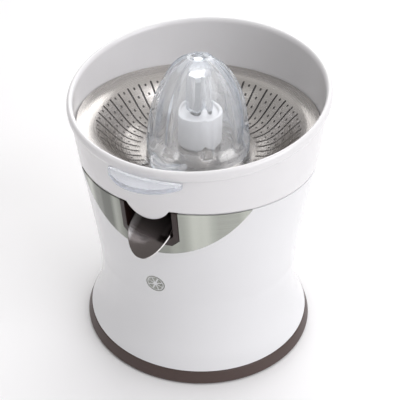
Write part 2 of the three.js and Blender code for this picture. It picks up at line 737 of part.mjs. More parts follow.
// ---------------------------------------------------------------- strainer
const COLLAR_R = CHIMNEY_R + 1;
const COLLAR_Z = BUSH_Z - PRESS - 1; // top of the strainer's collar, below the pressed sleeve

// Inside face of the dish from its rim to its floor.
const DISH = [
  [STRAINER_R, STRAINER_Z],
  [STRAINER_R - 9, STRAINER_Z - 2.4],
  [STRAINER_R - 13.5, STRAINER_Z - 5.4],
  [STRAINER_R - 22.5, STRAINER_Z - 15.5],
  [STRAINER_R - 32, STRAINER_FLOOR_Z + 2.8],
  [STRAINER_R - 46, STRAINER_FLOOR_Z],
];

function strainer() {
  const facets = SLOTS;
  const top = [...DISH, [COLLAR_R + STRAINER_T, STRAINER_FLOOR_Z], [COLLAR_R + STRAINER_T, COLLAR_Z]];
  const under = [
    [COLLAR_R, COLLAR_Z],
    [COLLAR_R, STRAINER_FLOOR_Z - STRAINER_T],
    ...DISH.map(([r, z]) => [r, z - STRAINER_T]).reverse(),
  ];
  let made = turned([...top, ...under, top[0]], facets, OVAL);
  const low = STRAINER_FLOOR_Z - STRAINER_T - OVERCUT;
  const slot = block(-SLOT_W / 2, SLOT_W / 2, -SLOT_OUT_R, -SLOT_IN_R, low, STRAINER_Z);
  const slots = wasm.Manifold.union(around(SLOTS, SLOT_PHASE).map((d) => facing(slot, d)));
  made = made.subtract(slots.scale([1, OVAL, 1]));
  return made;
}

// ---------------------------------------------------------------- reamer
const SKIRT_TOP_Z = REAMER_Z + SKIRT_H;
const REAMER_AROUND = RIBS * 6;
const DOME_H = REAMER_TOP_Z - SKIRT_TOP_Z;
const domeRadius = (t, r, h) => [r * Math.sqrt(Math.max(0, 1 - t * t)), SKIRT_TOP_Z + h * t];

// Pulls the dome in between its ribs.
function fluted(made) {
  const phase = THREE.MathUtils.degToRad(REAMER_PHASE);
  return made.warp((p) => {
    const rise = THREE.MathUtils.clamp((p[2] - SKIRT_TOP_Z) / FLUTE_RUN, 0, 1);
    const angle = Math.atan2(-p[0], -p[1]) - phase;
    const crest = Math.abs(Math.cos((angle * RIBS) / 2)) ** CREST_POWER;
    const pull = 1 - FLUTE * rise * (1 - crest);
    p[0] *= pull;
    p[1] *= pull;
  });
}

function reamer() {
  const steps = [0.03, 0.3, 0.55, 0.75, 0.9, 0.98];
  const outer = steps.map((t) => domeRadius(t, REAMER_R - REAMER_STEP, DOME_H));
  const innerH = DOME_H - 2.2 * REAMER_WALL;
  const inner = [0, 0.5, 0.8, 0.95].map((t) => domeRadius(t, REAMER_R - REAMER_WALL, innerH));
  const shell = turned(
    [
      [REAMER_R - REAMER_WALL, REAMER_Z],
      [REAMER_R, REAMER_Z],
      [REAMER_R, SKIRT_TOP_Z - REAMER_STEP],
      ...outer,
      [0, REAMER_TOP_Z - REAMER_DIP],
      [0, SKIRT_TOP_Z + innerH],
      ...inner.reverse(),
      [REAMER_R - REAMER_WALL, REAMER_Z],
    ],
    REAMER_AROUND,
  );
  const paddleZ = REAMER_Z + PADDLE_LIFT;
  const paddleY = -(REAMER_R + PADDLE_OUT - PADDLE_R);
  const paddle = rod(PADDLE_R, paddleZ, paddleZ + PADDLE_H, 0, paddleY, 28);
  const reach = rod(REAMER_R - REAMER_WALL / 2, REAMER_Z, SKIRT_TOP_Z, 0, 0, REAMER_AROUND);
  const blade = cut(paddle, reach);
  const hubTop = SKIRT_TOP_Z + innerH + REAMER_WALL - 1;
  let made = union(fluted(shell), facing(blade, REAMER_PHASE), facing(blade, REAMER_PHASE + 180));
  made = union(made, rod(HUB_R, BUSH_TOP_Z + PRESS, hubTop, 0, 0, 24));
  return cut(made, rod(SOCKET_R, BUSH_TOP_Z, SHAFT_TOP_Z + PRESS + 1, 0, 0, 6));
}

const SOCKET_R = HEX_R + 1.5 * GAP;

// The sleeve that the reamer turns on: it slips over the bowl's chimney.
function reamerBush() {
  const shaftHole = HEX_R + 0.8;
  const bore = CHIMNEY_R + SLEEVE_CLEAR;
  const ceiling = CHIMNEY_TOP_Z + PRESS + SLEEVE_CLEAR;
  return turned(
    [
      [bore, BUSH_Z],
      [BUSH_R, BUSH_Z],
      [BUSH_R, BUSH_TOP_Z - 1],
      [BUSH_R - 1, BUSH_TOP_Z],
      [shaftHole, BUSH_TOP_Z],
      [shaftHole, ceiling],
      [bore, ceiling],
      [bore, BUSH_Z],
    ],
    24,
  );
}

// ---------------------------------------------------------------- drive shaft and seal
const HUB_TOP_Z = COVER_Z + COVER_T + HUB_PROUD;
const SPRING_Z = HUB_TOP_Z + GAP;

function driveShaft() {
  const body = rod(SHAFT_R, SHAFT_BOTTOM_Z, SHAFT_TOP_Z, 0, 0, 18);
  const lowerHex = rod(HEX_R, GEARBOX_Z + GEARBOX_FLOOR_T + 2 * PRESS, SHAFT_COLLAR_Z, 0, 0, 6);
  const upperHex = rod(HEX_R, BUSH_TOP_Z + PRESS + 1, SHAFT_TOP_Z, 0, 0, 6);
  const collarTop = SHAFT_COLLAR_Z + SHAFT_COLLAR_H;
  const collar = rod(SHAFT_COLLAR_R, SHAFT_COLLAR_Z, collarTop, 0, 0, 24);
  return union(body, lowerHex, upperHex, collar);
}

function returnSpring() {
  const start = SPRING_Z + SPRING_WIRE_R + GAP;
  const length = SHAFT_COLLAR_Z - SPRING_WIRE_R - GAP - start;
  const path = new (class extends THREE.Curve {
    getPoint(t) {
      const a = 2 * Math.PI * SPRING_TURNS * t;
      return new THREE.Vector3(SPRING_R * Math.cos(a), SPRING_R * Math.sin(a), start + length * t);
    }
  })();
  const section = new THREE.Shape();
  section.absarc(0, 0, SPRING_WIRE_R, 0, 2 * Math.PI);
  const settings = { steps: 34, curveSegments: 3, bevelEnabled: false, extrudePath: path };
  return solid(new THREE.ExtrudeGeometry(section, settings));
}

function shaftSeal() {
  const top = DECK_TOP_Z - 0.2;
  const lip = SHAFT_R + GAP;
  return turned(
    [
      [lip, top - SEAL_H + 1.6],
      [SEAL_R, top - SEAL_H],
      [SEAL_R, top],
      [lip + 1.7, top],
      [lip, top - 0.8],
      [lip, top - SEAL_H + 1.6],
    ],
    18,
  );
}

// ---------------------------------------------------------------- gears
const pitchRadius = (teeth, module) => (teeth * module) / 2;
const FAST_CENTRES = pitchRadius(PINION_TEETH, MODULE_FAST) + pitchRadius(WHEEL_TEETH, MODULE_FAST);
const SLOW_CENTRES = pitchRadius(SMALL_TEETH, MODULE_SLOW) + pitchRadius(OUTPUT_TEETH, MODULE_SLOW);

// Where the intermediate axle stands: a slow centre distance from the output shaft and a fast
// one from the motor.
const AXLE_Y = (SLOW_CENTRES ** 2 - FAST_CENTRES ** 2 + MOTOR_Y ** 2) / (2 * MOTOR_Y);
const AXLE_X = Math.sqrt(SLOW_CENTRES ** 2 - AXLE_Y ** 2);
const TO_AXLE = Math.atan2(AXLE_Y, AXLE_X); // from the output shaft
const AXLE_TO_MOTOR = Math.atan2(MOTOR_Y - AXLE_Y, -AXLE_X);

// A toothed disc with one tooth centred on the angle `first`.
function gear(teeth, module, z0, z1, x, y, first) {
  const pitch = pitchRadius(teeth, module);
  const root = pitch - DEDENDUM * module;
  const tip = pitch + ADDENDUM * module;
  const step = (2 * Math.PI) / teeth;
  const corners = [
    [root, -ROOT_SHARE],
    [tip, -TIP_SHARE],
    [tip, TIP_SHARE],
    [root, ROOT_SHARE],
  ];
  const points = [];
  for (let i = 0; i < teeth; i += 1) {
    for (const [r, share] of corners) {
      const a = first + (i + share) * step;
      points.push(new THREE.Vector2(r * Math.cos(a), r * Math.sin(a)));
    }
  }
  const geometry = new THREE.ExtrudeGeometry(new THREE.Shape(points), {
    depth: z1 - z0,
    bevelEnabled: false,
  });
  return solid(geometry.translate(x, y, z0));
}

function outputGear() {
  const disc = gear(OUTPUT_TEETH, MODULE_SLOW, OUTPUT_Z, OUTPUT_Z + OUTPUT_W, 0, 0, TO_AXLE);
  const hub = rod(HUB_OUT_R, GEARBOX_Z + GEARBOX_FLOOR_T + 1, HUB_TOP_Z, 0, 0, 24);
  return cut(union(disc, hub), rod(HEX_R + 0.35, GEARBOX_Z, HUB_TOP_Z + 1, 0, 0, 6));
}

function intermediateGear() {
  const halfTooth = Math.PI / SMALL_TEETH;
  const wheelTop = WHEEL_Z + WHEEL_W;
  const wheel = gear(WHEEL_TEETH, MODULE_FAST, WHEEL_Z, wheelTop, AXLE_X, AXLE_Y, AXLE_TO_MOTOR);
  const small = gear(
    SMALL_TEETH,
    MODULE_SLOW,
    wheelTop - 0.5,
    OUTPUT_Z + OUTPUT_W + 0.8,
    AXLE_X,
    AXLE_Y,
    TO_AXLE + Math.PI + halfTooth,
  );
  return cut(union(wheel, small), rod(AXLE_R + GAP, WHEEL_Z - 1, COVER_Z, AXLE_X, AXLE_Y, 14));
}

function motorPinion() {
  const first = AXLE_TO_MOTOR + Math.PI + Math.PI / PINION_TEETH;
  const z1 = WHEEL_Z + WHEEL_W + 1;
  const made = gear(PINION_TEETH, MODULE_FAST, WHEEL_Z - 1.2, z1, 0, MOTOR_Y, first);
  return cut(made, rod(MOTOR_SHAFT_R + GAP, WHEEL_Z - 3, z1 + 1, 0, MOTOR_Y, 20));
}

// ---------------------------------------------------------------- gearbox
// The three overlapping circles that hold the gears, grown by an offset.
function gearboxOutline(offset, z0, z1) {
  return union(
    rod(OUTPUT_ROOM + offset, z0, z1, 0, 0, 24),
    rod(WHEEL_ROOM + offset, z0, z1, AXLE_X, AXLE_Y, 20),
    rod(PINION_ROOM + offset, z0, z1, 0, MOTOR_Y, 14),
  );
}

const MOTOR_SCREW_AT = [-1, 1].map((side) => [side * MOTOR_SCREW_X, MOTOR_Y + MOTOR_SCREW_Y]);

function gearboxTray() {
  const top = GEARBOX_Z + GEARBOX_H;
  const low = GEARBOX_Z - OVERCUT;
  let made = gearboxOutline(GEARBOX_WALL, GEARBOX_Z, top);
  made = cut(made, gearboxOutline(0, GEARBOX_Z + GEARBOX_FLOOR_T, top + 1));
  made = cut(made, rod(BUSH_LOW_R + GAP, low, top, 0, 0, 24));
  made = cut(made, rod(AXLE_R + GAP, low, top, AXLE_X, AXLE_Y, 20));
  made = cut(made, rod(MOTOR_SHAFT_R + 1, low, top, 0, MOTOR_Y, 20));
  for (const [x, y] of MOTOR_SCREW_AT) made = cut(made, rod(SCREW_R + GAP, low, top, x, y, 12));
  return made;
}

function gearboxCover() {
  const top = COVER_Z + COVER_T;
  const [below, above] = [COVER_Z - OVERCUT, top + OVERCUT];
  let made = gearboxOutline(GEARBOX_WALL, COVER_Z, top);
  for (const [x, y] of MOUNT_AT) made = union(made, rod(MOUNT_EAR_R, COVER_Z, top, x, y, 16));
  for (const [x, y] of MOUNT_AT) made = cut(made, rod(SCREW_R + GAP, below, above, x, y, 12));
  made = cut(made, rod(BUSH_HIGH_R + GAP, below, above, 0, 0, 24));
  return cut(made, rod(AXLE_R + GAP, below, above, AXLE_X, AXLE_Y, 14));
}

const lowerBush = () =>
  tube(SHAFT_R + GAP, BUSH_LOW_R, GEARBOX_Z, GEARBOX_Z + GEARBOX_FLOOR_T + 0.6);
const upperBush = () => tube(HUB_OUT_R + GAP, BUSH_HIGH_R, COVER_Z - 0.5, COVER_Z + COVER_T + 1);
const axle = () => rod(AXLE_R, GEARBOX_Z, COVER_Z + COVER_T, AXLE_X, AXLE_Y, 20);
const grommet = ([x, y]) =>
  tube(SCREW_R + GAP, MOUNT_EAR_R, GROMMET_Z, GROMMET_Z + GROMMET_H, x, y, 16);

// ---------------------------------------------------------------- motor
const MOTOR_SHAFT_TOP_Z = OUTPUT_Z - 1;

function motorCan() {
  const lidZ = MOTOR_TOP_Z - MOTOR_LID_T;
  const [low, high] = [lidZ - OVERCUT, MOTOR_TOP_Z + OVERCUT];
  const made = tube(MOTOR_R - MOTOR_WALL, MOTOR_R, MOTOR_Z, lidZ + OVERCUT / 2, 0, MOTOR_Y, 20);
  let lid = rod(MOTOR_R, lidZ, MOTOR_TOP_Z, 0, MOTOR_Y, 20);
  lid = cut(lid, rod(BEARING_R + GAP, low, high, 0, MOTOR_Y));
  for (const [x, y] of MOTOR_SCREW_AT) lid = cut(lid, rod(SCREW_R + GAP, low, high, x, y, 12));
  return union(made, lid);
}

function motorBell() {
  const z1 = MOTOR_Z - GAP;
  const made = rod(MOTOR_R, z1 - BELL_T, z1, 0, MOTOR_Y, 20);
  return cut(made, rod(BEARING_R + GAP, z1 - BELL_T - 1, z1 + 1, 0, MOTOR_Y));
}

const bearing = (z) => tube(MOTOR_SHAFT_R + GAP, BEARING_R, z, z + BELL_T, 0, MOTOR_Y);
const stator = () =>
  tube(CORE_R + AIR_GAP, MOTOR_R - MOTOR_WALL - GAP, STACK_Z, STACK_Z + CORE_H, 0, MOTOR_Y, 20);
const winding = (z) =>
  tube(CORE_R + WINDING_IN, MOTOR_R - 2 * MOTOR_WALL, z, z + WINDING_H, 0, MOTOR_Y, 20);
const rotorCore = () =>
  tube(MOTOR_SHAFT_R + GAP, CORE_R, STACK_Z - 1, STACK_Z + CORE_H + 1, 0, MOTOR_Y, 20);
const motorShaft = () =>
  rod(MOTOR_SHAFT_R, MOTOR_SHAFT_BOTTOM_Z, MOTOR_SHAFT_TOP_Z, 0, MOTOR_Y, 20);

function coolingFan() {
  const z0 = MOTOR_SHAFT_BOTTOM_Z + 1;
  const z1 = z0 + FAN_H;
  const blade = block(-FAN_T / 2, FAN_T / 2, -FAN_R + 1, -MOTOR_SHAFT_R - FAN_T, z0 + 1, z1 - FAN_T / 2);
  const blades = around(FAN_BLADES).map((degrees) => facing(blade, degrees));
  const disc = rod(FAN_R, z1 - FAN_T, z1, 0, 0, 30);
  const made = union(rod(FAN_HUB_R, z0, z1, 0, 0, 20), disc, ...blades);
  const bore = rod(MOTOR_SHAFT_R + GAP, z0 - OVERCUT, z1 + OVERCUT);
  return cut(made, bore).translate([0, MOTOR_Y, 0]);
}

// ---------------------------------------------------------------- switch
const SWITCH_HALF_Y = SHAFT_R;

function switchBody() {
  const made = block(
    -SWITCH_HALF_X,
    SWITCH_HALF_X,
    -SWITCH_HALF_Y,
    SWITCH_HALF_Y,
    SWITCH_TOP_Z - SWITCH_H,
    SWITCH_TOP_Z,
  );
  return cut(made, rod(PLUNGER_R + GAP, SWITCH_TOP_Z - PLUNGER_BORE_H, SWITCH_TOP_Z + OVERCUT));
}

const switchPlunger = () =>
  rod(PLUNGER_R, SWITCH_TOP_Z - PLUNGER_BORE_H + 2 * PRESS, SHAFT_BOTTOM_Z - GAP);

function switchBracket() {
  const y = -SWITCH_HALF_Y - GAP;
  const top = GEARBOX_Z - GAP;
  const [left, right] = [-BRACKET_HALF_X, BRACKET_HALF_X];
  const upright = block(left, right, y - BRACKET_T, y, SWITCH_TOP_Z - SWITCH_H, top);
  return union(upright, block(left, right, y - BRACKET_FOOT_L, y, top - BRACKET_T, top));
}

// ---------------------------------------------------------------- cord inlet
function cordGland() {
  const flangeR = GLAND_R + GLAND_LIP;
  const innerY = bodyRadius(GLAND_Z) * OVAL - WALL - GLAND_INSIDE_L;
  const flangeY = bodyRadius(GLAND_Z - flangeR) * OVAL + GAP;
  const points = [
    [CORD_R, innerY],
    [GLAND_R, innerY],
    [GLAND_R, flangeY],
    [flangeR, flangeY],
    [flangeR - 0.3 * GLAND_FLANGE_T, flangeY + GLAND_FLANGE_T],
    [CORD_R, flangeY + GLAND_FLANGE_T],
    [CORD_R, innerY],
  ].map(([r, y]) => new THREE.Vector2(r, y));
  return solid(new THREE.LatheGeometry(points, 16).translate(0, 0, GLAND_Z));
}

// ---------------------------------------------------------------- assembly
const juicer = new THREE.Group();

// The tab makes the object longer in front, so the reamer's axis stands this far behind its middle.
const AXIS_Y = ((RIM_R - RING_BOTTOM_R) * OVAL + TAB_OUT) / 2;

function add(name, made, look) {
  const geometry = geometryOf(made).translate(0, AXIS_Y, 0);
  const mesh = new THREE.Mesh(geometry, new THREE.MeshStandardMaterial(look));
  mesh.name = name;
  juicer.add(mesh);
}

add("housing", housing(), WHITE);
add("base_ring", baseRing(), DARK);
add("base_plate", basePlate(), DARK);
FOOT_AT.forEach((place, i) => add(`foot_${i + 1}`, foot(place), RUBBER));
SCREW_AT.forEach((place, i) =>
  add(`base_screw_${i + 1}`, screw(place, RING_Z, PLATE_Z - RING_Z - GAP, BASE_SCREW_TIP_Z), STEEL),
);
add("front_panel", frontPanel(), BRUSHED);
add("notch_liner", notchLiner(), LINER);
add("spout_pin", spoutPin(), STEEL);
add("spout", spout(), POLISHED);
add("bowl", bowl(), WHITE);
add("lift_tab", liftTab(), CLEAR);
add("strainer", strainer(), SATIN);
add("reamer_bush", reamerBush(), WHITE);
add("reamer", reamer(), CLEAR);
add("drive_shaft", driveShaft(), STEEL);
add("return_spring", returnSpring(), STEEL);
add("shaft_seal", shaftSeal(), RUBBER);
add("output_gear", outputGear(), NYLON);
add("intermediate_gear", intermediateGear(), NYLON);
add("intermediate_axle", axle(), STEEL);
add("output_bush_lower", lowerBush(), BRONZE);
add("output_bush_upper", upperBush(), BRONZE);
add("gearbox_tray", gearboxTray(), CAST);
add("gearbox_cover", gearboxCover(), CAST);
MOUNT_AT.forEach((place, i) => add(`mount_grommet_${i + 1}`, grommet(place), RUBBER));
MOUNT_AT.forEach((place, i) => {
  const headZ = COVER_Z - GAP - SCREW_HEAD_H;
  const tipZ = GROMMET_Z + GROMMET_H + 4 * SCREW_R;
  add(`mount_screw_${i + 1}`, screw(place, headZ, SCREW_HEAD_H, tipZ), STEEL);
});
add("motor_can", motorCan(), STEEL);
add("motor_bell", motorBell(), STEEL);
add("motor_bearing_top", bearing(MOTOR_TOP_Z - BELL_T), BRONZE);
add("motor_bearing_bottom", bearing(MOTOR_Z - GAP - BELL_T), BRONZE);
add("motor_stator", stator(), STEEL);
add("winding_lower", winding(STACK_Z - WINDING_H - GAP), COPPER);
add("winding_upper", winding(STACK_Z + CORE_H + GAP), COPPER);
add("motor_shaft", motorShaft(), STEEL);
add("rotor_core", rotorCore(), STEEL);
add("motor_pinion", motorPinion(), STEEL);
add("cooling_fan", coolingFan(), BLACK);
add("switch_body", switchBody(), BLACK);
add("switch_plunger", switchPlunger(), NYLON);
add("switch_bracket", switchBracket(), STEEL);
add("cord_gland", cordGland(), RUBBER);

export default juicer;
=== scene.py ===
"""Looks of an electric citrus juicer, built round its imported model. Metres, +Z up, spout towards -Y."""
import json
import logging
import math
from dataclasses import dataclass, field
from enum import Enum
from typing import Callable, Iterable, Sequence

import bmesh
import bpy
from mathutils import Matrix, Vector
from mathutils.geometry import delaunay_2d_cdt


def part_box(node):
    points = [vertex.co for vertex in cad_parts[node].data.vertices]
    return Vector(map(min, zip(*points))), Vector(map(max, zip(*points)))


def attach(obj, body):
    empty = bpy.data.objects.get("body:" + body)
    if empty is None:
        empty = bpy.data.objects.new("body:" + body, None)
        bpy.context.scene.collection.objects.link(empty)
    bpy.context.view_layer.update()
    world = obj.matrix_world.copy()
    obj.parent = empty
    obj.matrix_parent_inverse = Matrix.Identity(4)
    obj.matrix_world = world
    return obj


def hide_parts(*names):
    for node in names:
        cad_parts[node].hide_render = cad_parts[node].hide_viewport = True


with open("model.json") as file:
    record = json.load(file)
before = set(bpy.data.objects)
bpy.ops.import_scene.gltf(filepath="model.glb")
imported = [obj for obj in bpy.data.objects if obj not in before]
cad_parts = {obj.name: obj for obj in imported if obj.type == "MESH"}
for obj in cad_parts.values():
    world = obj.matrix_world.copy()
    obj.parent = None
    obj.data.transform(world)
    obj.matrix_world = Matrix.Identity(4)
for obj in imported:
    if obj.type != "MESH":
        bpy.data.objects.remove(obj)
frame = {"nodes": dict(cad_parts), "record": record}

LOG = logging.getLogger("juicer")
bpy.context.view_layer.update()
MM = 0.001
JOINTS = {joint["name"]: joint for joint in frame["record"]["behaviour"]["joints"]}
AXIS = Vector((*JOINTS["output_spin"]["pos_m"][:2], 0))  # foot of the reamer's axis

Flat = tuple[float, float]
Point = tuple[float, float, float]
Section = Callable[[float], Sequence[Flat]]
Colour = tuple[float, float, float]


# ------------------------------------------------------------------ mesh tools
def blend(low: float, high: float, share: float) -> float:
    """The value a share of the way from low to high."""
    return low + (high - low) * share


def smooth_step(value: float) -> float:
    """Eases a value, clamped to 0..1, at both ends."""
    t = min(1.0, max(0.0, value))
    return t * t * (3 - 2 * t)


def spread(start: float, end: float, steps: int) -> list[float]:
    """Evenly spaced values from start to end, both included."""
    return [blend(start, end, i / steps) for i in range(steps + 1)]


def whole_turn(count: int) -> list[float]:
    """Evenly spaced angles round a full turn, in radians."""
    return [2 * math.pi * i / count for i in range(count)]


def filleted(corners: Sequence[Point], steps: int = 4) -> list[Flat]:
    """Rounds the corners of a closed outline.

    Args:
        corners: each corner in order, as across, up and how far its rounding reaches.
        steps: pieces in each rounding.

    Returns:
        The rounded outline's points.
    """
    outline = []
    for i, (x, y, reach) in enumerate(corners):
        here = Vector((x, y))
        before = Vector(corners[i - 1][:2]) - here
        after = Vector(corners[(i + 1) % len(corners)][:2]) - here
        if reach <= 0:
            outline.append((x, y))
            continue
        reach = min(reach, 0.48 * before.length, 0.48 * after.length)
        start = here + before.normalized() * reach
        end = here + after.normalized() * reach
        for t in spread(0, 1, steps):
            p = (1 - t) ** 2 * start + 2 * t * (1 - t) * here + t * t * end
            outline.append((p.x, p.y))
    return outline


def shade(mesh: bpy.types.Mesh, crease: float) -> None:
    """Smooths a mesh's shading, and keeps edges sharper than crease, in degrees, sharp."""
    mesh.shade_smooth()
    mesh.set_sharp_from_angle(angle=math.radians(crease))


def piece(
    name: str, points: Sequence[Point], faces: Sequence[Sequence[int]], crease: float = 38
) -> bpy.types.Object:
    """Makes a mesh object with merged points and faces that point out.

    Args:
        name: the object's name.
        points: corner points.
        faces: indices into points, one list for each face.
        crease: edges sharper than this stay sharp, in degrees.

    Returns:
        The new object, linked to the scene.
    """
    mesh = bpy.data.meshes.new(name)
    mesh.from_pydata([tuple(p) for p in points], [], [list(f) for f in faces])
    work = bmesh.new()
    work.from_mesh(mesh)
    bmesh.ops.remove_doubles(work, verts=work.verts, dist=0.002 * MM)
    bmesh.ops.dissolve_degenerate(work, dist=0.0005 * MM, edges=work.edges)
    bmesh.ops.recalc_face_normals(work, faces=work.faces)
    work.to_mesh(mesh)
    work.free()
    mesh.validate()
    shade(mesh, crease)
    made = bpy.data.objects.new(name, mesh)
    bpy.context.scene.collection.objects.link(made)
    return made


def settle(made: bpy.types.Object, crease: float = 38) -> bpy.types.Object:
    """Applies an object's modifiers to its mesh and shades it again."""
    bpy.context.view_layer.update()
    ready = made.evaluated_get(bpy.context.evaluated_depsgraph_get())
    made.data = bpy.data.meshes.new_from_object(ready)
    made.modifiers.clear()
    shade(made.data, crease)
    return made


class Join(Enum):
    """How one solid is joined with another."""

    CUT = "DIFFERENCE"
    ADD = "UNION"
    KEEP = "INTERSECT"


def joined(made: bpy.types.Object, tool: bpy.types.Object, how: Join) -> bpy.types.Object:
    """Cuts, adds or intersects a solid with a tool, and removes the tool.

    Args:
        made: the solid that is changed.
        tool: the solid that it is joined with.
        how: which join.

    Returns:
        The changed solid.
    """
    step = made.modifiers.new("join", "BOOLEAN")
    step.operation = how.value
    step.solver = "EXACT"
    step.object = tool
    settle(made)
    bpy.data.objects.remove(tool)
    return made


def bevelled(made: bpy.types.Object, width: float, angle: float = 40, steps: int = 2) -> bpy.types.Object:
    """Rounds an object's edges with a bevel that stays on it as a modifier."""
    step = made.modifiers.new("bevel", "BEVEL")
    step.width = width
    step.segments = steps
    step.limit_method = "ANGLE"
    step.angle_limit = math.radians(angle)
    step.use_clamp_overlap = True
    return made


def prism(name: str, outline: Sequence[Flat], y0: float, y1: float) -> bpy.types.Object:
    """A front-view outline in X and Z, pushed from y0 to y1 as a closed solid."""
    count = len(outline)
    points = [(x, y, z) for y in (y0, y1) for x, z in outline]
    sides = [(i, (i + 1) % count, (i + 1) % count + count, i + count) for i in range(count)]
    return piece(name, points, [range(count), range(2 * count - 1, count - 1, -1), *sides])


def grid_faces(
    rows: int, columns: int, wrap_rows: bool = False, wrap_columns: bool = False
) -> list[list[int]]:
    """Quads over a grid of points that was listed row by row.

    Args:
        rows: number of rows.
        columns: points in each row.
        wrap_rows: whether the last row joins the first.
        wrap_columns: whether each row closes on itself.

    Returns:
        Four indices for each quad.
    """
    faces = []
    for i in range(rows if wrap_rows else rows - 1):
        for j in range(columns if wrap_columns else columns - 1):
            a, b = i * columns, ((i + 1) % rows) * columns
            k = (j + 1) % columns
            faces.append([a + j, a + k, b + k, b + j])
    return faces


# ------------------------------------------------------------------ the body's outline
@dataclass(frozen=True)
class BodyForm:
    """The oval, waisted outline that the housing, panel, liner, bowl and strainer share."""

    oval: float = 0.965
    waist_z: float = 66 * MM
    waist_r: float = 75.7 * MM
    ring_top_r: float = 87.5 * MM
    ring_top_z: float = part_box("housing")[0].z - 0.3 * MM
    seam_z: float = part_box("housing")[1].z + 0.3 * MM
    seam_r: float = 85 * MM
    foot_power: float = 3.1
    flare_power: float = 1.2
    round_r: float = 20 * MM
    gap: float = 0.3 * MM
    wall: float = 2.6 * MM

    def radius(self, z: float) -> float:
        """Half width of the housing at a height."""
        if z < self.waist_z:
            t = (self.waist_z - z) / (self.waist_z - self.ring_top_z)
            return self.waist_r + (self.ring_top_r - self.waist_r) * t**self.foot_power
        t = (z - self.waist_z) / (self.seam_z - self.waist_z)
        return self.waist_r + (self.seam_r - self.waist_r) * t**self.flare_power

    def place(self, angle: float, r: float, z: float) -> Point:
        """The point at an angle from the spout towards -X. Near the shaft the oval turns into a circle."""
        squeeze = blend(1, self.oval, smooth_step((r - self.round_r) / self.round_r))
        return (-r * math.sin(angle), -squeeze * r * math.cos(angle), z)

    def front(self, x: float, z: float, offset: float = 0) -> Point:
        """The point of the housing's front face at a distance to the side and a height."""
        r = self.radius(z) + offset
        return (x, -self.oval * math.sqrt(max(0.0, r * r - x * x)), z)

    def swept(
        self, name: str, section: Section, angles: Sequence[float], crease: float = 38
    ) -> bpy.types.Object:
        """Sets closed sections of radius and height round the shaft and skins them.

        Args:
            name: the object's name.
            section: the closed section at an angle.
            angles: where the sections stand, once round.
            crease: edges sharper than this stay sharp, in degrees.

        Returns:
            The new closed solid.
        """
        rows = [[self.place(a, r, z) for r, z in section(a)] for a in angles]
        faces = grid_faces(len(rows), len(rows[0]), wrap_rows=True, wrap_columns=True)
        return piece(name, [p for row in rows for p in row], faces, crease)

    def turned(
        self, name: str, outline: Sequence[Flat], around: int = 192, crease: float = 38
    ) -> bpy.types.Object:
        """Turns one closed section round the shaft."""
        return self.swept(name, lambda angle: outline, whole_turn(around), crease)


@dataclass(frozen=True)
class NotchForm:
    """The notch in the housing's front that holds the spout."""

    half: float = 20 * MM
    low_z: float = 123 * MM
    chamfer: float = 5 * MM
    bezel: float = 3.4 * MM
    back_y: float = -53 * MM
    pocket_z: float = 119.4 * MM
    pocket_t: float = 2.4 * MM
    front_y: float = -110 * MM

    def outline(self, offset: float, top: float) -> list[Flat]:
        """The notch in front view, grown by an offset, up to a height."""
        half, low = self.half + offset, self.low_z - offset
        return [
            (-half, top),
            (-half, low + self.chamfer),
            (-half + self.chamfer, low),
            (half - self.chamfer, low),
            (half, low + self.chamfer),
            (half, top),
        ]

    def holds(self, x: float, z: float, offset: float) -> bool:
        """Whether a front-view point is in the notch grown by an offset."""
        half, low = self.half + offset, self.low_z - offset
        return abs(x) < half and z > low and abs(x) - (half - self.chamfer) < z - low


# ------------------------------------------------------------------ shared effects
class Nodes:
    """A node tree with short calls for adding, placing and linking nodes."""

    def __init__(self, tree: bpy.types.NodeTree) -> None:
        """Keeps the tree that the nodes go in."""
        self.tree = tree

    def add(self, kind: str, values: dict | None = None, **settings: object) -> bpy.types.Node:
        """Adds a node.

        Args:
            kind: Blender's name for the node type.
            values: input values by name or number; a socket is linked instead.
            settings: properties of the node.

        Returns:
            The new node.
        """
        made = self.tree.nodes.new(kind)
        for key, value in settings.items():
            setattr(made, key, value)
        for key, value in (values or {}).items():
            if isinstance(value, bpy.types.NodeSocket):
                self.tree.links.new(value, made.inputs[key])
            else:
                made.inputs[key].default_value = value
        return made

    def maths(
        self, operation: str, first: object, second: object = 0.0, clamp: bool = False
    ) -> bpy.types.NodeSocket:
        """One sum of two values or sockets, as a socket."""
        made = self.add("ShaderNodeMath", {0: first, 1: second}, operation=operation, use_clamp=clamp)
        return made.outputs[0]

    def ramp(
        self, value: object, low: float, high: float, to_low: float, to_high: float
    ) -> bpy.types.NodeSocket:
        """Maps a value's range onto another, clamped."""
        sockets = {0: value, 1: low, 2: high, 3: to_low, 4: to_high}
        return self.add("ShaderNodeMapRange", sockets).outputs[0]

    def mixed(self, share: object, first: object, second: object) -> bpy.types.NodeSocket:
        """Mixes two colours by a share."""
        node = self.add("ShaderNodeMix", {0: share}, data_type="RGBA")
        for key, value in ((6, first), (7, second)):
            if isinstance(value, bpy.types.NodeSocket):
                self.tree.links.new(value, node.inputs[key])
            else:
                node.inputs[key].default_value = (*value, 1)
        return node.outputs[2]


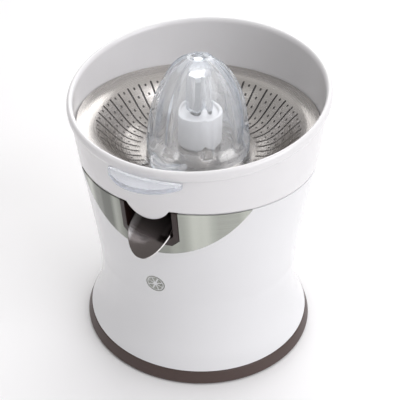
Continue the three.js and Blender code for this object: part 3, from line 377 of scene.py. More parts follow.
def effect(name: str, inputs: dict[str, float], outputs: Iterable[str], fill: Callable) -> bpy.types.NodeTree:
    """Makes a shader node group once, and finds it again after that.

    Args:
        name: the group's name.
        inputs: its number inputs with their usual values; "Vector" is a vector.
        outputs: its number outputs.
        fill: puts the nodes in, given the Nodes and the group's input node, and returns output sockets.

    Returns:
        The node group.
    """
    found = bpy.data.node_groups.get(name)
    if found:
        return found
    tree = bpy.data.node_groups.new(name, "ShaderNodeTree")
    for key, value in inputs.items():
        kind = "NodeSocketVector" if key == "Vector" else "NodeSocketFloat"
        socket = tree.interface.new_socket(name=key, in_out="INPUT", socket_type=kind)
        if kind == "NodeSocketFloat":
            socket.default_value = value
    for key in outputs:
        tree.interface.new_socket(name=key, in_out="OUTPUT", socket_type="NodeSocketFloat")
    nodes = Nodes(tree)
    start = tree.nodes.new("NodeGroupInput")
    end = tree.nodes.new("NodeGroupOutput")
    for key, socket in fill(nodes, start).items():
        tree.links.new(socket, end.inputs[key])
    return tree


def mould_skin() -> bpy.types.NodeTree:
    """The skin of a moulded part: slow tone drift, fine orange peel and specks of dust."""

    def fill(nodes: Nodes, start: bpy.types.Node) -> dict[str, bpy.types.NodeSocket]:
        """Puts the group's nodes in and returns its outputs."""
        where = start.outputs["Vector"]
        drift_scale = start.outputs["Drift Scale"]
        drift = nodes.add("ShaderNodeTexNoise", {"Vector": where, "Scale": drift_scale, "Detail": 2.0})
        peel_scale = start.outputs["Peel Scale"]
        peel = nodes.add("ShaderNodeTexNoise", {"Vector": where, "Scale": peel_scale, "Detail": 3.0})
        dust = nodes.add("ShaderNodeTexVoronoi", {"Vector": where, "Scale": start.outputs["Dust Scale"]})
        near = nodes.ramp(dust.outputs["Distance"], 0.02, 0.09, 1.0, 0.0)
        few = nodes.ramp(drift.outputs[0], 0.52, 0.62, 0.0, 1.0)
        return {
            "Drift": drift.outputs[0],
            "Peel": peel.outputs[0],
            "Dust": nodes.maths("MULTIPLY", near, few),
        }

    inputs = {"Vector": 0.0, "Drift Scale": 9.0, "Peel Scale": 900.0, "Dust Scale": 260.0}
    return effect("mould_skin", inputs, ("Drift", "Peel", "Dust"), fill)


def brush_grain() -> bpy.types.NodeTree:
    """Grain of brushed metal: long streaks one way, fine lines the other."""

    def fill(nodes: Nodes, start: bpy.types.Node) -> dict[str, bpy.types.NodeSocket]:
        """Puts the group's nodes in and returns its outputs."""
        along = nodes.maths("MULTIPLY", start.outputs["Along"], start.outputs["Streak"])
        lines = []
        for share in (1.0, 0.31):
            across = nodes.maths("MULTIPLY", start.outputs["Across"], start.outputs["Fineness"])
            across = nodes.maths("MULTIPLY", across, share)
            where = nodes.add("ShaderNodeCombineXYZ", {0: along, 1: across, 2: share * 7}).outputs[0]
            noise = nodes.add("ShaderNodeTexNoise", {"Vector": where, "Scale": 1.0, "Detail": 4.0})
            lines.append(noise.outputs[0])
        wide, narrow = nodes.maths("MULTIPLY", lines[0], 0.6), nodes.maths("MULTIPLY", lines[1], 0.4)
        both = nodes.maths("ADD", wide, narrow)
        return {"Grain": both}

    inputs = {"Along": 0.0, "Across": 0.0, "Streak": 30.0, "Fineness": 3000.0}
    return effect("brush_grain", inputs, ("Grain",), fill)


def hairlines() -> bpy.types.NodeTree:
    """Fine scratches in scattered directions, with a soft smudge between them."""

    def fill(nodes: Nodes, start: bpy.types.Node) -> dict[str, bpy.types.NodeSocket]:
        """Puts the group's nodes in and returns its outputs."""
        total: object = 0.0
        for turn in (0.4, 1.5, 2.7):
            mapped = nodes.add("ShaderNodeMapping", {"Vector": start.outputs["Vector"]})
            mapped.inputs["Rotation"].default_value = (turn, turn * 0.7, turn * 1.3)
            mapped.inputs["Scale"].default_value = (1.0, 34.0, 8.0)
            scale = start.outputs["Scale"]
            noise = nodes.add("ShaderNodeTexNoise", {"Vector": mapped.outputs[0], "Scale": scale})
            total = nodes.maths("ADD", total, nodes.ramp(noise.outputs[0], 0.62, 0.7, 0.0, 0.5))
        smudge = nodes.add(
            "ShaderNodeTexNoise", {"Vector": start.outputs["Vector"], "Scale": 26.0, "Detail": 3.0})
        return {"Scratches": total, "Smudge": smudge.outputs[0]}

    return effect("hairlines", {"Vector": 0.0, "Scale": 60.0}, ("Scratches", "Smudge"), fill)


# ------------------------------------------------------------------ finishes
class Grain(Enum):
    """Which way a metal's brush lines run."""

    LEVEL = "round the body at one height"
    ROUND = "in circles round the shaft"
    ALONG_X = "along X"


@dataclass(frozen=True)
class Finish:
    """What every finish has: a name, a colour and how rough it is."""

    name: str
    colour: Colour
    roughness: float

    def material(self) -> bpy.types.Material:
        """The material, made once and found again after that."""
        name = f"finish_{self.name}"
        found = bpy.data.materials.get(name)
        if found:
            return found
        made = bpy.data.materials.new(name)
        made.use_nodes = True
        made.diffuse_color = (*self.colour, 1)
        nodes = Nodes(made.node_tree)
        shader = made.node_tree.nodes["Principled BSDF"]
        shader.inputs["Base Color"].default_value = (*self.colour, 1)
        shader.inputs["Roughness"].default_value = self.roughness
        where = nodes.add("ShaderNodeTexCoord").outputs["Object"]
        self.wire(nodes, shader, where)
        return made

    def wire(self, nodes: Nodes, shader: bpy.types.Node, where: bpy.types.NodeSocket) -> None:
        """Adds the finish's own nodes to its shader."""

    def bump(
        self, nodes: Nodes, shader: bpy.types.Node, height: object, depth: float, strength: float = 1.0
    ) -> None:
        """Feeds a height into the shader's normal, as a bump of a depth in metres."""
        values = {"Height": height, "Distance": depth, "Strength": strength}
        nodes.tree.links.new(nodes.add("ShaderNodeBump", values).outputs[0], shader.inputs["Normal"])


@dataclass(frozen=True)
class Moulded(Finish):
    """A moulded plastic or rubber, from high gloss to matt."""

    peel_scale: float = 900.0
    peel_depth: float = 0.004 * MM
    dust: float = 0.25
    drift: float = 0.04
    coat: float = 0.0
    glow: float = 0.0

    def wire(self, nodes: Nodes, shader: bpy.types.Node, where: bpy.types.NodeSocket) -> None:
        """Adds tone drift, orange peel and dust."""
        skin = nodes.add("ShaderNodeGroup", node_tree=mould_skin())
        nodes.tree.links.new(where, skin.inputs["Vector"])
        skin.inputs["Peel Scale"].default_value = self.peel_scale
        darker = tuple(c * (1 - self.drift) for c in self.colour)
        tone = nodes.mixed(nodes.ramp(skin.outputs["Drift"], 0.35, 0.65, 0, 1), darker, self.colour)
        grey = tuple(blend(c, 0.45, 0.35) for c in self.colour)
        dusty = nodes.mixed(nodes.maths("MULTIPLY", skin.outputs["Dust"], self.dust), tone, grey)
        nodes.tree.links.new(dusty, shader.inputs["Base Color"])
        rough = nodes.ramp(skin.outputs["Drift"], 0.3, 0.7, self.roughness * 0.88, self.roughness * 1.12)
        rough = nodes.maths("ADD", rough, nodes.maths("MULTIPLY", skin.outputs["Dust"], 0.2))
        nodes.tree.links.new(rough, shader.inputs["Roughness"])
        shader.inputs["Coat Weight"].default_value = self.coat
        shader.inputs["Coat Roughness"].default_value = 0.06
        shader.inputs["Subsurface Weight"].default_value = self.glow
        shader.inputs["Subsurface Radius"].default_value = (1.0, 0.9, 0.85)
        shader.inputs["Subsurface Scale"].default_value = 1.2 * MM
        self.bump(nodes, shader, skin.outputs["Peel"], self.peel_depth)


@dataclass(frozen=True)
class BrushedSteel(Finish):
    """Sheet steel or a ground part, with brush lines, and where set a painted shade that darkens it towards
    -X and painted reflection bands along X.
    """

    grain: Grain = Grain.LEVEL
    fineness: float = 3000.0
    streak: float = 30.0
    contrast: float = 0.25
    stretch: float = 0.4
    # Painted shade: the colour is painted darker towards -X by this share, over reach; it stands in for a
    # darker reflection.
    painted_shade: float = 0.0
    reach: float = 60 * MM
    # Painted reflection: strength of soft light bands painted along X.
    painted_reflection_bands: float = 0.0

    def wire(self, nodes: Nodes, shader: bpy.types.Node, where: bpy.types.NodeSocket) -> None:
        """Adds brush lines to colour, roughness and normal, and the painted shade and painted reflection
        bands to the colour.
        """
        shader.inputs["Metallic"].default_value = 1.0
        shader.inputs["Anisotropic"].default_value = self.stretch
        x, y, z = nodes.add("ShaderNodeSeparateXYZ", {0: where}).outputs
        if self.grain is Grain.ROUND:
            across = nodes.add("ShaderNodeVectorMath", {0: where}, operation="LENGTH").outputs["Value"]
            along = nodes.maths("MULTIPLY", nodes.maths("ARCTAN2", x, y), 60 * MM)
        else:
            across = z if self.grain is Grain.LEVEL else nodes.maths("ADD", y, z)
            along = x
        group = nodes.add("ShaderNodeGroup", {"Along": along, "Across": across}, node_tree=brush_grain())
        group.inputs["Streak"].default_value = self.streak
        group.inputs["Fineness"].default_value = self.fineness
        lines = nodes.ramp(group.outputs["Grain"], 0.32, 0.68, 0, 1)
        dark = tuple(c * (1 - self.contrast) for c in self.colour)
        tone = nodes.mixed(lines, dark, self.colour)
        # Painted shade: darker towards -X, standing in for a darker reflection.
        if self.painted_shade:
            painted_shade_tone = tuple(c * (1 - self.painted_shade) for c in self.colour)
            tone = nodes.mixed(nodes.ramp(x, -self.reach, 0.6 * self.reach, 1, 0), tone, painted_shade_tone)
        # Painted reflection: slow light bands along X, mixed towards a brighter copy of the colour.
        if self.painted_reflection_bands:
            slow = nodes.add("ShaderNodeCombineXYZ", {0: nodes.maths("MULTIPLY", x, 48)}).outputs[0]
            wave = nodes.add("ShaderNodeTexNoise", {"Vector": slow, "Scale": 1.0, "Detail": 1.5}).outputs[0]
            bright = tuple(min(1.0, c * 1.7) for c in self.colour)
            tone = nodes.mixed(nodes.ramp(wave, 0.45, 0.68, 0, self.painted_reflection_bands), tone, bright)
        nodes.tree.links.new(tone, shader.inputs["Base Color"])
        rough = nodes.ramp(lines, 0, 1, self.roughness * 1.25, self.roughness * 0.8)
        nodes.tree.links.new(rough, shader.inputs["Roughness"])
        self.bump(nodes, shader, lines, 0.01 * MM, 0.6)


@dataclass(frozen=True)
class PolishedSteel(Finish):
    """Polished steel with hairline scratches and a few smudges, and a painted highlight where it turns up
    towards +X.
    """

    # Painted highlight colour, mixed in where the surface faces +X.
    rim: Colour = (0.82, 0.8, 0.79)

    def wire(self, nodes: Nodes, shader: bpy.types.Node, where: bpy.types.NodeSocket) -> None:
        """Adds scratches, smudges and the painted highlight."""
        shader.inputs["Metallic"].default_value = 1.0
        marks = nodes.add("ShaderNodeGroup", {"Vector": where}, node_tree=hairlines())
        light = tuple(min(1.0, c * 1.12) for c in self.colour)
        tone = nodes.mixed(nodes.maths("MULTIPLY", marks.outputs["Scratches"], 0.5), self.colour, light)
        # Painted highlight: the colour turns to the rim colour where the normal points towards +X.
        normal = nodes.add("ShaderNodeNewGeometry").outputs["Normal"]
        side = nodes.add("ShaderNodeSeparateXYZ", {0: normal}).outputs[0]
        tone = nodes.mixed(nodes.ramp(side, 0.33, 0.5, 0, 1), tone, self.rim)
        nodes.tree.links.new(tone, shader.inputs["Base Color"])
        smudged = nodes.ramp(marks.outputs["Smudge"], 0.4, 0.7, self.roughness, self.roughness * 1.8)
        rough = nodes.maths("ADD", smudged, nodes.maths("MULTIPLY", marks.outputs["Scratches"], 0.06))
        nodes.tree.links.new(rough, shader.inputs["Roughness"])
        self.bump(nodes, shader, marks.outputs["Scratches"], -0.004 * MM, 0.4)


@dataclass(frozen=True)
class ClearPlastic(Finish):
    """Clear moulded plastic with a cool tint that deepens at its edges, and faint flow lines."""

    edge: Colour = (0.6, 0.74, 0.95)
    index: float = 1.32
    clarity: float = 0.84
    shadow: float = 0.8

    def wire(self, nodes: Nodes, shader: bpy.types.Node, where: bpy.types.NodeSocket) -> None:
        """Adds tint, flow lines and hairlines, and lets most direct light through."""
        shader.inputs["Transmission Weight"].default_value = self.clarity
        shader.inputs["IOR"].default_value = self.index
        skin = nodes.add("ShaderNodeGroup", {"Vector": where}, node_tree=mould_skin())
        skin.inputs["Peel Scale"].default_value = 130.0
        deeper = tuple(c * 0.97 for c in self.colour)
        tone = nodes.mixed(nodes.ramp(skin.outputs["Drift"], 0.35, 0.65, 0, 1), deeper, self.colour)
        facing = nodes.add("ShaderNodeLayerWeight", {"Blend": 0.35}).outputs["Facing"]
        tone = nodes.mixed(nodes.ramp(facing, 0.35, 0.95, 0, 1), tone, self.edge)
        nodes.tree.links.new(tone, shader.inputs["Base Color"])
        marks = nodes.add("ShaderNodeGroup", {"Vector": where}, node_tree=hairlines())
        rough = nodes.maths("ADD", nodes.maths("MULTIPLY", marks.outputs["Scratches"], 0.02), self.roughness)
        nodes.tree.links.new(rough, shader.inputs["Roughness"])
        path = nodes.add("ShaderNodeLightPath").outputs["Is Shadow Ray"]
        nodes.tree.links.new(nodes.ramp(path, 0, 1, 1, 1 - self.shadow), shader.inputs["Alpha"])
        self.bump(nodes, shader, skin.outputs["Peel"], 0.01 * MM, 0.3)


class Look(Enum):
    """The juicer's finishes, each with the material slot of the record that it stands for."""

    HOUSING = ("white_housing", Moulded("gloss_white", (0.82, 0.82, 0.835), 0.2, coat=0.35))
    BOWL = ("white_bowl", Moulded("gloss_white_bowl", (0.825, 0.815, 0.825), 0.22, coat=0.3))
    BASE = ("base_dark", Moulded(
        "satin_umber", (0.075, 0.048, 0.042), 0.42, peel_scale=1400, peel_depth=0.012 * MM))
    LINER = ("liner_dark", Moulded("liner_umber", (0.026, 0.013, 0.011), 0.36, peel_scale=1400))
    PANEL = ("brushed_panel", BrushedSteel(
        "brushed_panel", (0.42, 0.435, 0.395), 0.22, contrast=0.18, painted_shade=0.85, painted_reflection_bands=0.7))
    SPOUT = ("polished_spout", PolishedSteel("polished_spout", (0.17, 0.15, 0.145), 0.1))
    STRAINER = ("satin_strainer", BrushedSteel(
        "satin_strainer", (0.6, 0.575, 0.55), 0.27, Grain.ROUND, 2200, 25, 0.1, 0.3))
    REAMER = ("clear_reamer", ClearPlastic("clear_reamer", (0.975, 0.985, 1.0), 0.0))
    TAB = ("clear_tab", ClearPlastic("clear_tab", (0.93, 0.95, 0.985), 0.03))
    BUSH = ("white_bush", Moulded("white_bush", (0.86, 0.86, 0.87), 0.35))
    NYLON = ("gear_nylon", Moulded("gear_nylon", (0.74, 0.71, 0.62), 0.45, glow=0.15))
    CAST = ("cast_plastic", Moulded("cast_plastic", (0.6, 0.58, 0.52), 0.55, peel_depth=0.02 * MM))
    STEEL = ("plain_steel", BrushedSteel(
        "plain_steel", (0.42, 0.43, 0.44), 0.34, Grain.ALONG_X, 1500, 60, 0.2))
    BRONZE = ("bronze", BrushedSteel("bronze", (0.52, 0.34, 0.16), 0.4, Grain.ROUND, 900, 200, 0.35, 0))
    COPPER = ("copper_wire", BrushedSteel(
        "copper_wire", (0.6, 0.27, 0.12), 0.3, Grain.LEVEL, 1800, 8, 0.5, 0.2))
    RUBBER = ("rubber_black", Moulded(
        "rubber_black", (0.02, 0.02, 0.021), 0.72, peel_depth=0.03 * MM, dust=0.5))
    BLACK = ("black_plastic", Moulded("black_plastic", (0.018, 0.018, 0.019), 0.5, peel_depth=0.02 * MM))

    @property
    def slot(self) -> str:
        """The record's material slot."""
        return self.value[0]

    def on(self, made: bpy.types.Object) -> bpy.types.Object:
        """Gives an object this finish in place of any other."""
        made.data.materials.clear()
        made.data.materials.append(self.value[1].material())
        return made


def ready(made: bpy.types.Object, look: Look, body: str, *nodes: str) -> bpy.types.Object:
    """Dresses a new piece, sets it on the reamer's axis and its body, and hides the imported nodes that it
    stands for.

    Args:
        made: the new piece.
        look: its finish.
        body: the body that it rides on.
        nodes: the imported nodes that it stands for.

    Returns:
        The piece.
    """
    look.on(made)
    made.location = AXIS
    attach(made, body)
    if nodes:
        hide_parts(*nodes)
    LOG.info("%s: %d faces, on %s", made.name, len(made.data.polygons), body)
    return made


# ------------------------------------------------------------------ housing and base
@dataclass
class Housing:
    """The white shell with its deck, the dark base ring and the small emblem in front."""

    form: BodyForm
    notch: NotchForm
    deck_z: float = 143.5 * MM
    deck_t: float = 3 * MM
    shaft_hole_r: float = 9.8 * MM
    edge: float = 0.8 * MM
    gland_r: float = 6.3 * MM
    gland_z: float = 30 * MM
    ring_r: float = 91 * MM
    ring_lip: float = 3.2 * MM
    ring_lip_t: float = 2.4 * MM
    emblem_z: float = 82 * MM
    emblem_r: float = 7 * MM
    emblem_t: float = 0.25 * MM

    def shell(self) -> bpy.types.Object:
        """Makes the housing with its deck, notch and cord hole."""
        low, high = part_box("housing")[0].z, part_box("housing")[1].z
        outer = [(self.form.radius(z), z) for z in spread(low, high, 72)]
        outer[0] = (outer[0][0] - 0.5 * self.edge, low)
        outer.insert(1, (self.form.radius(low + 0.4 * self.edge), low + 0.4 * self.edge))
        outer[-1] = (outer[-1][0], high - self.edge)
        outer += [(self.form.radius(high) - 0.3 * self.edge, high - 0.25 * self.edge)]
        outer += [(self.form.radius(high) - self.edge, high)]
        wall = self.form.wall
        deck_top = self.deck_z + self.deck_t
        inner = [(self.form.radius(z) - wall, z) for z in (high, deck_top)]
        inner += [(self.shaft_hole_r, deck_top), (self.shaft_hole_r, self.deck_z)]
        inner += [(self.form.radius(z) - wall, z) for z in spread(self.deck_z, low, 12)]
        made = self.form.turned("housing_shell", outer + inner, 216)
        opening = self.notch.outline(self.form.gap, high + wall)
        front = prism("cutter", opening, self.notch.front_y, self.notch.back_y)
        made = joined(made, front, Join.CUT)
        hole = [(self.gland_r * math.cos(a), self.gland_z + self.gland_r * math.sin(a))
                for a in whole_turn(40)]
        return joined(made, prism("cutter", hole, 40 * MM, self.ring_r), Join.CUT)

    def ring(self) -> bpy.types.Object:
        """Makes the base ring with rounded edges and a locating lip."""
        low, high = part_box("base_ring")[0].z, self.form.ring_top_z
        seat = self.form.radius(self.form.ring_top_z) - self.form.wall
        lip = seat - self.ring_lip
        corners = [
            (seat, low, 0.3 * MM),
            (self.ring_r, low, 2.2 * MM),
            (self.form.ring_top_r, high, 0.9 * MM),
            (lip, high, 0),
            (lip, high + self.ring_lip, 0.4 * MM),
            (lip - self.ring_lip_t, high + self.ring_lip, 0.4 * MM),
            (lip - self.ring_lip_t, low + 4.5 * MM, 0),
            (seat, low + 4.5 * MM, 0),
        ]
        return self.form.turned("base_ring_shell", filleted(corners, 5))

    def emblem(self) -> bpy.types.Object:
        """Makes a plain citrus-slice emblem: a rim and eight wedges that follow the housing's front."""
        outlines = []
        rim = [(self.emblem_r, 1), (self.emblem_r * 0.9, 0)]
        for a in whole_turn(8):
            tip, side = 0.22, math.radians(17)
            arc = [(math.cos(a + s), math.sin(a + s)) for s in spread(-side, side, 5)]
            wedge = [(0.78 * x, 0.78 * y) for x, y in arc]
            outlines.append([(tip * math.cos(a), tip * math.sin(a)), *wedge])
        points: list[Point] = []
        faces: list[list[int]] = []

        def lay(x: float, z: float, lift: float) -> Point:
            """A point of the emblem, on the housing's front, lifted off it."""
            return self.form.front(x * self.emblem_r, self.emblem_z + z * self.emblem_r, lift)

        for outline in outlines:
            start, count = len(points), len(outline)
            for lift in (self.emblem_t, -self.emblem_t):
                points += [lay(x, z, lift) for x, z in outline]
            faces.append([start + i for i in range(count)])
            faces.append([start + count + i for i in reversed(range(count))])
            faces += [
                [start + i, start + (i + 1) % count, start + count + (i + 1) % count, start + count + i]
                for i in range(count)
            ]
        start = len(points)
        ring = [(rim[0][0] / self.emblem_r, self.emblem_t), (rim[1][0] / self.emblem_r, self.emblem_t)]
        ring += [(r, -lift) for r, lift in reversed(ring)]
        for a in whole_turn(48):
            points += [lay(r * math.cos(a), r * math.sin(a), lift) for r, lift in ring]
        faces += [[start + i for i in f] for f in grid_faces(48, 4, True, True)]
        return piece("emblem", points, faces)

    def build(self) -> None:
        """Makes and dresses the pieces."""
        ready(self.shell(), Look.HOUSING, "base", "housing")
        ready(self.ring(), Look.BASE, "base", "base_ring")
        ready(self.emblem(), Look.PANEL, "base")


@dataclass
class FrontPanel:
    """The brushed steel crescent and the dark liner of the spout's notch."""

    form: BodyForm
    notch: NotchForm
    arc_r: float = 70 * MM
    arc_z: float = 184 * MM
    proud: float = 0.25 * MM
    thickness: float = 0.8 * MM
    bezel_proud: float = 0.6 * MM
    step_y: float = -72.3 * MM
    mesh_step: float = 1.8 * MM

    def inside(self, x: float, z: float, margin: float = 0) -> bool:
        """Whether a front-view point is on the panel, at least margin from its edges."""
        top = self.form.seam_z - self.form.gap - margin
        in_arc = math.hypot(x, z - self.arc_z) < self.arc_r - margin
        return in_arc and z < top and not self.notch.holds(x, z, self.form.gap + margin)

    def edge(self) -> list[Flat]:
        """The panel's outline in front view."""
        top = self.form.seam_z - self.form.gap
        half = math.acos((self.arc_z - top) / self.arc_r)
        arc = [(self.arc_r * math.sin(a), self.arc_z - self.arc_r * math.cos(a))
               for a in spread(-half, half, 150)]
        outline = arc + [(x, top) for x in spread(arc[-1][0], self.notch.half + self.form.gap, 24)[1:-1]]
        around_notch = list(reversed(self.notch.outline(self.form.gap, top)))
        for (x0, z0), (x1, z1) in zip(around_notch, around_notch[1:]):
            steps = max(1, round(math.hypot(x1 - x0, z1 - z0) / self.mesh_step))
            outline += [(blend(x0, x1, t), blend(z0, z1, t)) for t in spread(0, 1, steps)[:-1]]
        outline.append(around_notch[-1])
        return outline + [(x, top) for x in spread(around_notch[-1][0], arc[0][0], 24)[1:-1]]

    def panel(self) -> bpy.types.Object:
        """Makes the crescent: a thin sheet that follows the housing's front."""
        outline = self.edge()
        count = len(outline)
        reach = int(self.arc_r / self.mesh_step)
        inner = [(i * self.mesh_step, self.arc_z - j * self.mesh_step)
                 for i in range(-reach, reach + 1) for j in range(reach + 1)]
        inner = [p for p in inner if self.inside(*p, 0.45 * self.mesh_step)]
        rim = [(i, (i + 1) % count) for i in range(count)]
        coords = [Vector(p) for p in outline + inner]
        flat, _, faces, *_ = delaunay_2d_cdt(coords, rim, [], 0, 1e-7)
        kept = []
        for f in faces:
            x = sum(flat[i].x for i in f) / len(f)
            z = sum(flat[i].y for i in f) / len(f)
            if self.inside(x, z):
                kept.append(list(f))
        made = piece("steel_panel", [self.form.front(p.x, p.y, self.proud) for p in flat], kept)
        sheet = made.modifiers.new("sheet", "SOLIDIFY")
        sheet.thickness = self.thickness
        sheet.offset = -1
        forward = sum(f.normal.y * f.area for f in made.data.polygons)
        if forward > 0:
            made.data.flip_normals()
        settle(made)
        bevelled(made, 0.22 * MM, 50)
        return settle(made, 30)

    def core(self, offset: float) -> bpy.types.Object:
        """The body's outline as a fine solid, moved out by an offset."""
        rows = [(self.form.radius(z) + offset, z) for z in spread(100 * MM, self.form.seam_z, 24)]
        return self.form.turned("core", [(0.1 * MM, rows[0][1]), *rows, (0.1 * MM, rows[-1][1])], 288)

    def liner(self) -> bpy.types.Object:
        """Makes the liner: a bezel flush with the front, walls, a floor and a deeper pocket."""
        form, notch = self.form, self.notch
        back = notch.back_y + 3 * MM
        deck_top = form.seam_z - 5.3 * MM
        made = prism("notch_liner_shell", notch.outline(0, form.seam_z + 10 * MM), notch.front_y, back)
        low = notch.pocket_z - notch.pocket_t
        r = form.radius(low) - form.wall
        pocket_y = -form.oval * math.sqrt(r * r - notch.half**2) + 3 * form.gap
        under = [(-notch.half, deck_top), (-notch.half, low), (notch.half, low), (notch.half, deck_top)]
        made = joined(made, prism("tool", under, pocket_y, back), Join.ADD)
        made = joined(made, self.core(self.bezel_proud), Join.KEEP)
        wide = 100 * MM
        lid = [(-wide, deck_top), (wide, deck_top), (wide, deck_top + wide), (-wide, deck_top + wide)]
        made = joined(made, prism("tool", lid, self.step_y - form.gap, wide), Join.CUT)
        opening = notch.outline(-notch.bezel, form.seam_z + wide)
        made = joined(made, prism("tool", opening, notch.front_y, notch.back_y), Join.CUT)
        inside = notch.half - notch.bezel
        floor = [(-inside, deck_top + MM), (-inside, notch.pocket_z)]
        floor += [(inside, notch.pocket_z), (inside, deck_top + MM)]
        made = joined(made, prism("tool", floor, pocket_y + 2 * MM, notch.back_y), Join.CUT)
        bevelled(made, 0.5 * MM, 50, 3)
        return settle(made, 30)

    def build(self) -> None:
        """Makes and dresses the pieces."""
        ready(self.panel(), Look.PANEL, "base", "front_panel")
        ready(self.liner(), Look.LINER, "base", "notch_liner")


# ------------------------------------------------------------------ spout
@dataclass
class Spout:
    """The dished steel spout with its two pivot lugs."""

    start_y: float = -60 * MM
    length: float = 34 * MM
    start_z: float = 132.7 * MM
    half: float = 14.6 * MM
    dish: float = 4.2 * MM
    thickness: float = 1 * MM
    slope: float = 0.1
    bend: float = 8.5
    tip_extra: float = 3 * MM
    pin_y: float = -66 * MM
    pin_z: float = 124.3 * MM
    pin_r: float = 1.8 * MM
    lug_x: float = 10 * MM
    lug_t: float = 2.4 * MM
    lug_r: float = 3.2 * MM

    def under_z(self, s: float) -> float:
        """Height of the trough's underside at a distance along it."""
        return self.start_z - self.slope * s - self.bend * s * s

    def half_at(self, s: float) -> float:
        """Half width of the trough at a distance along it."""
        straight = self.length - self.half - self.tip_extra
        if s <= straight:
            return self.half
        t = (s - straight) / (self.length - straight)
        return self.half * math.sqrt(max(0.0, 1 - (0.995 * t) ** 2))

    def trough(self) -> bpy.types.Object:
        """Makes the trough as a thin sheet with a rounded rim."""
        stations = [self.length * (1 - (1 - t) ** 1.7) for t in spread(0, 1, 56)]
        across = spread(-1, 1, 36)
        rows = []
        for s in stations:
            row = []
            for v in across:
                x = v * self.half_at(s)
                z = self.under_z(s) + self.dish * (x / self.half) ** 2
                row.append((x, self.start_y - s, z + self.thickness))
            rows += row
        made = piece("spout_trough", rows, grid_faces(len(stations), len(across)))
        upward = sum(f.normal.z * f.area for f in made.data.polygons)
        if upward < 0:
            made.data.flip_normals()
        sheet = made.modifiers.new("sheet", "SOLIDIFY")
        sheet.thickness = self.thickness
        sheet.offset = -1
        settle(made)
        bevelled(made, 0.42 * MM, 50, 4)
        return settle(made, 50)

    def lug(self, x: float, name: str) -> bpy.types.Object:
        """Makes one lug: a plate with a round eye that hangs under the trough."""
        top = self.under_z(self.start_y - self.pin_y) + 0.6 * MM
        eye = [math.pi + a for a in spread(0, math.pi, 16)]
        rounded = [(self.lug_r * math.cos(a), self.lug_r * math.sin(a)) for a in eye]
        outer = [(-self.lug_r, top - self.pin_z), *rounded, (self.lug_r, top - self.pin_z)]
        hole = [(self.pin_r * math.cos(a), self.pin_r * math.sin(a)) for a in whole_turn(24)]
        coords = [Vector(p) for p in outer + hole]
        n, m = len(outer), len(hole)
        rim = [(i, (i + 1) % n) for i in range(n)] + [(n + i, n + (i + 1) % m) for i in range(m)]
        flat, _, faces, *_ = delaunay_2d_cdt(coords, rim, [], 0, 1e-7)
        kept = []
        for f in faces:
            middle = sum((flat[i] for i in f), Vector((0, 0))) / len(f)
            if middle.length > self.pin_r:
                kept.append(list(f))
        points = [(x + self.lug_t / 2, self.pin_y + p.x, self.pin_z + p.y) for p in flat]
        made = piece(name, points, kept)
        sheet = made.modifiers.new("sheet", "SOLIDIFY")
        sheet.thickness = self.lug_t
        sheet.offset = -1 if made.data.polygons[0].normal.x > 0 else 1
        settle(made)
        bevelled(made, 0.3 * MM, 50)
        return settle(made, 30)

    def build(self) -> None:
        """Makes and dresses the pieces."""
        ready(self.trough(), Look.SPOUT, "spout", "spout")
        for x, side in ((-self.lug_x, "left"), (self.lug_x, "right")):
            ready(self.lug(x, f"spout_lug_{side}"), Look.SPOUT, "spout")


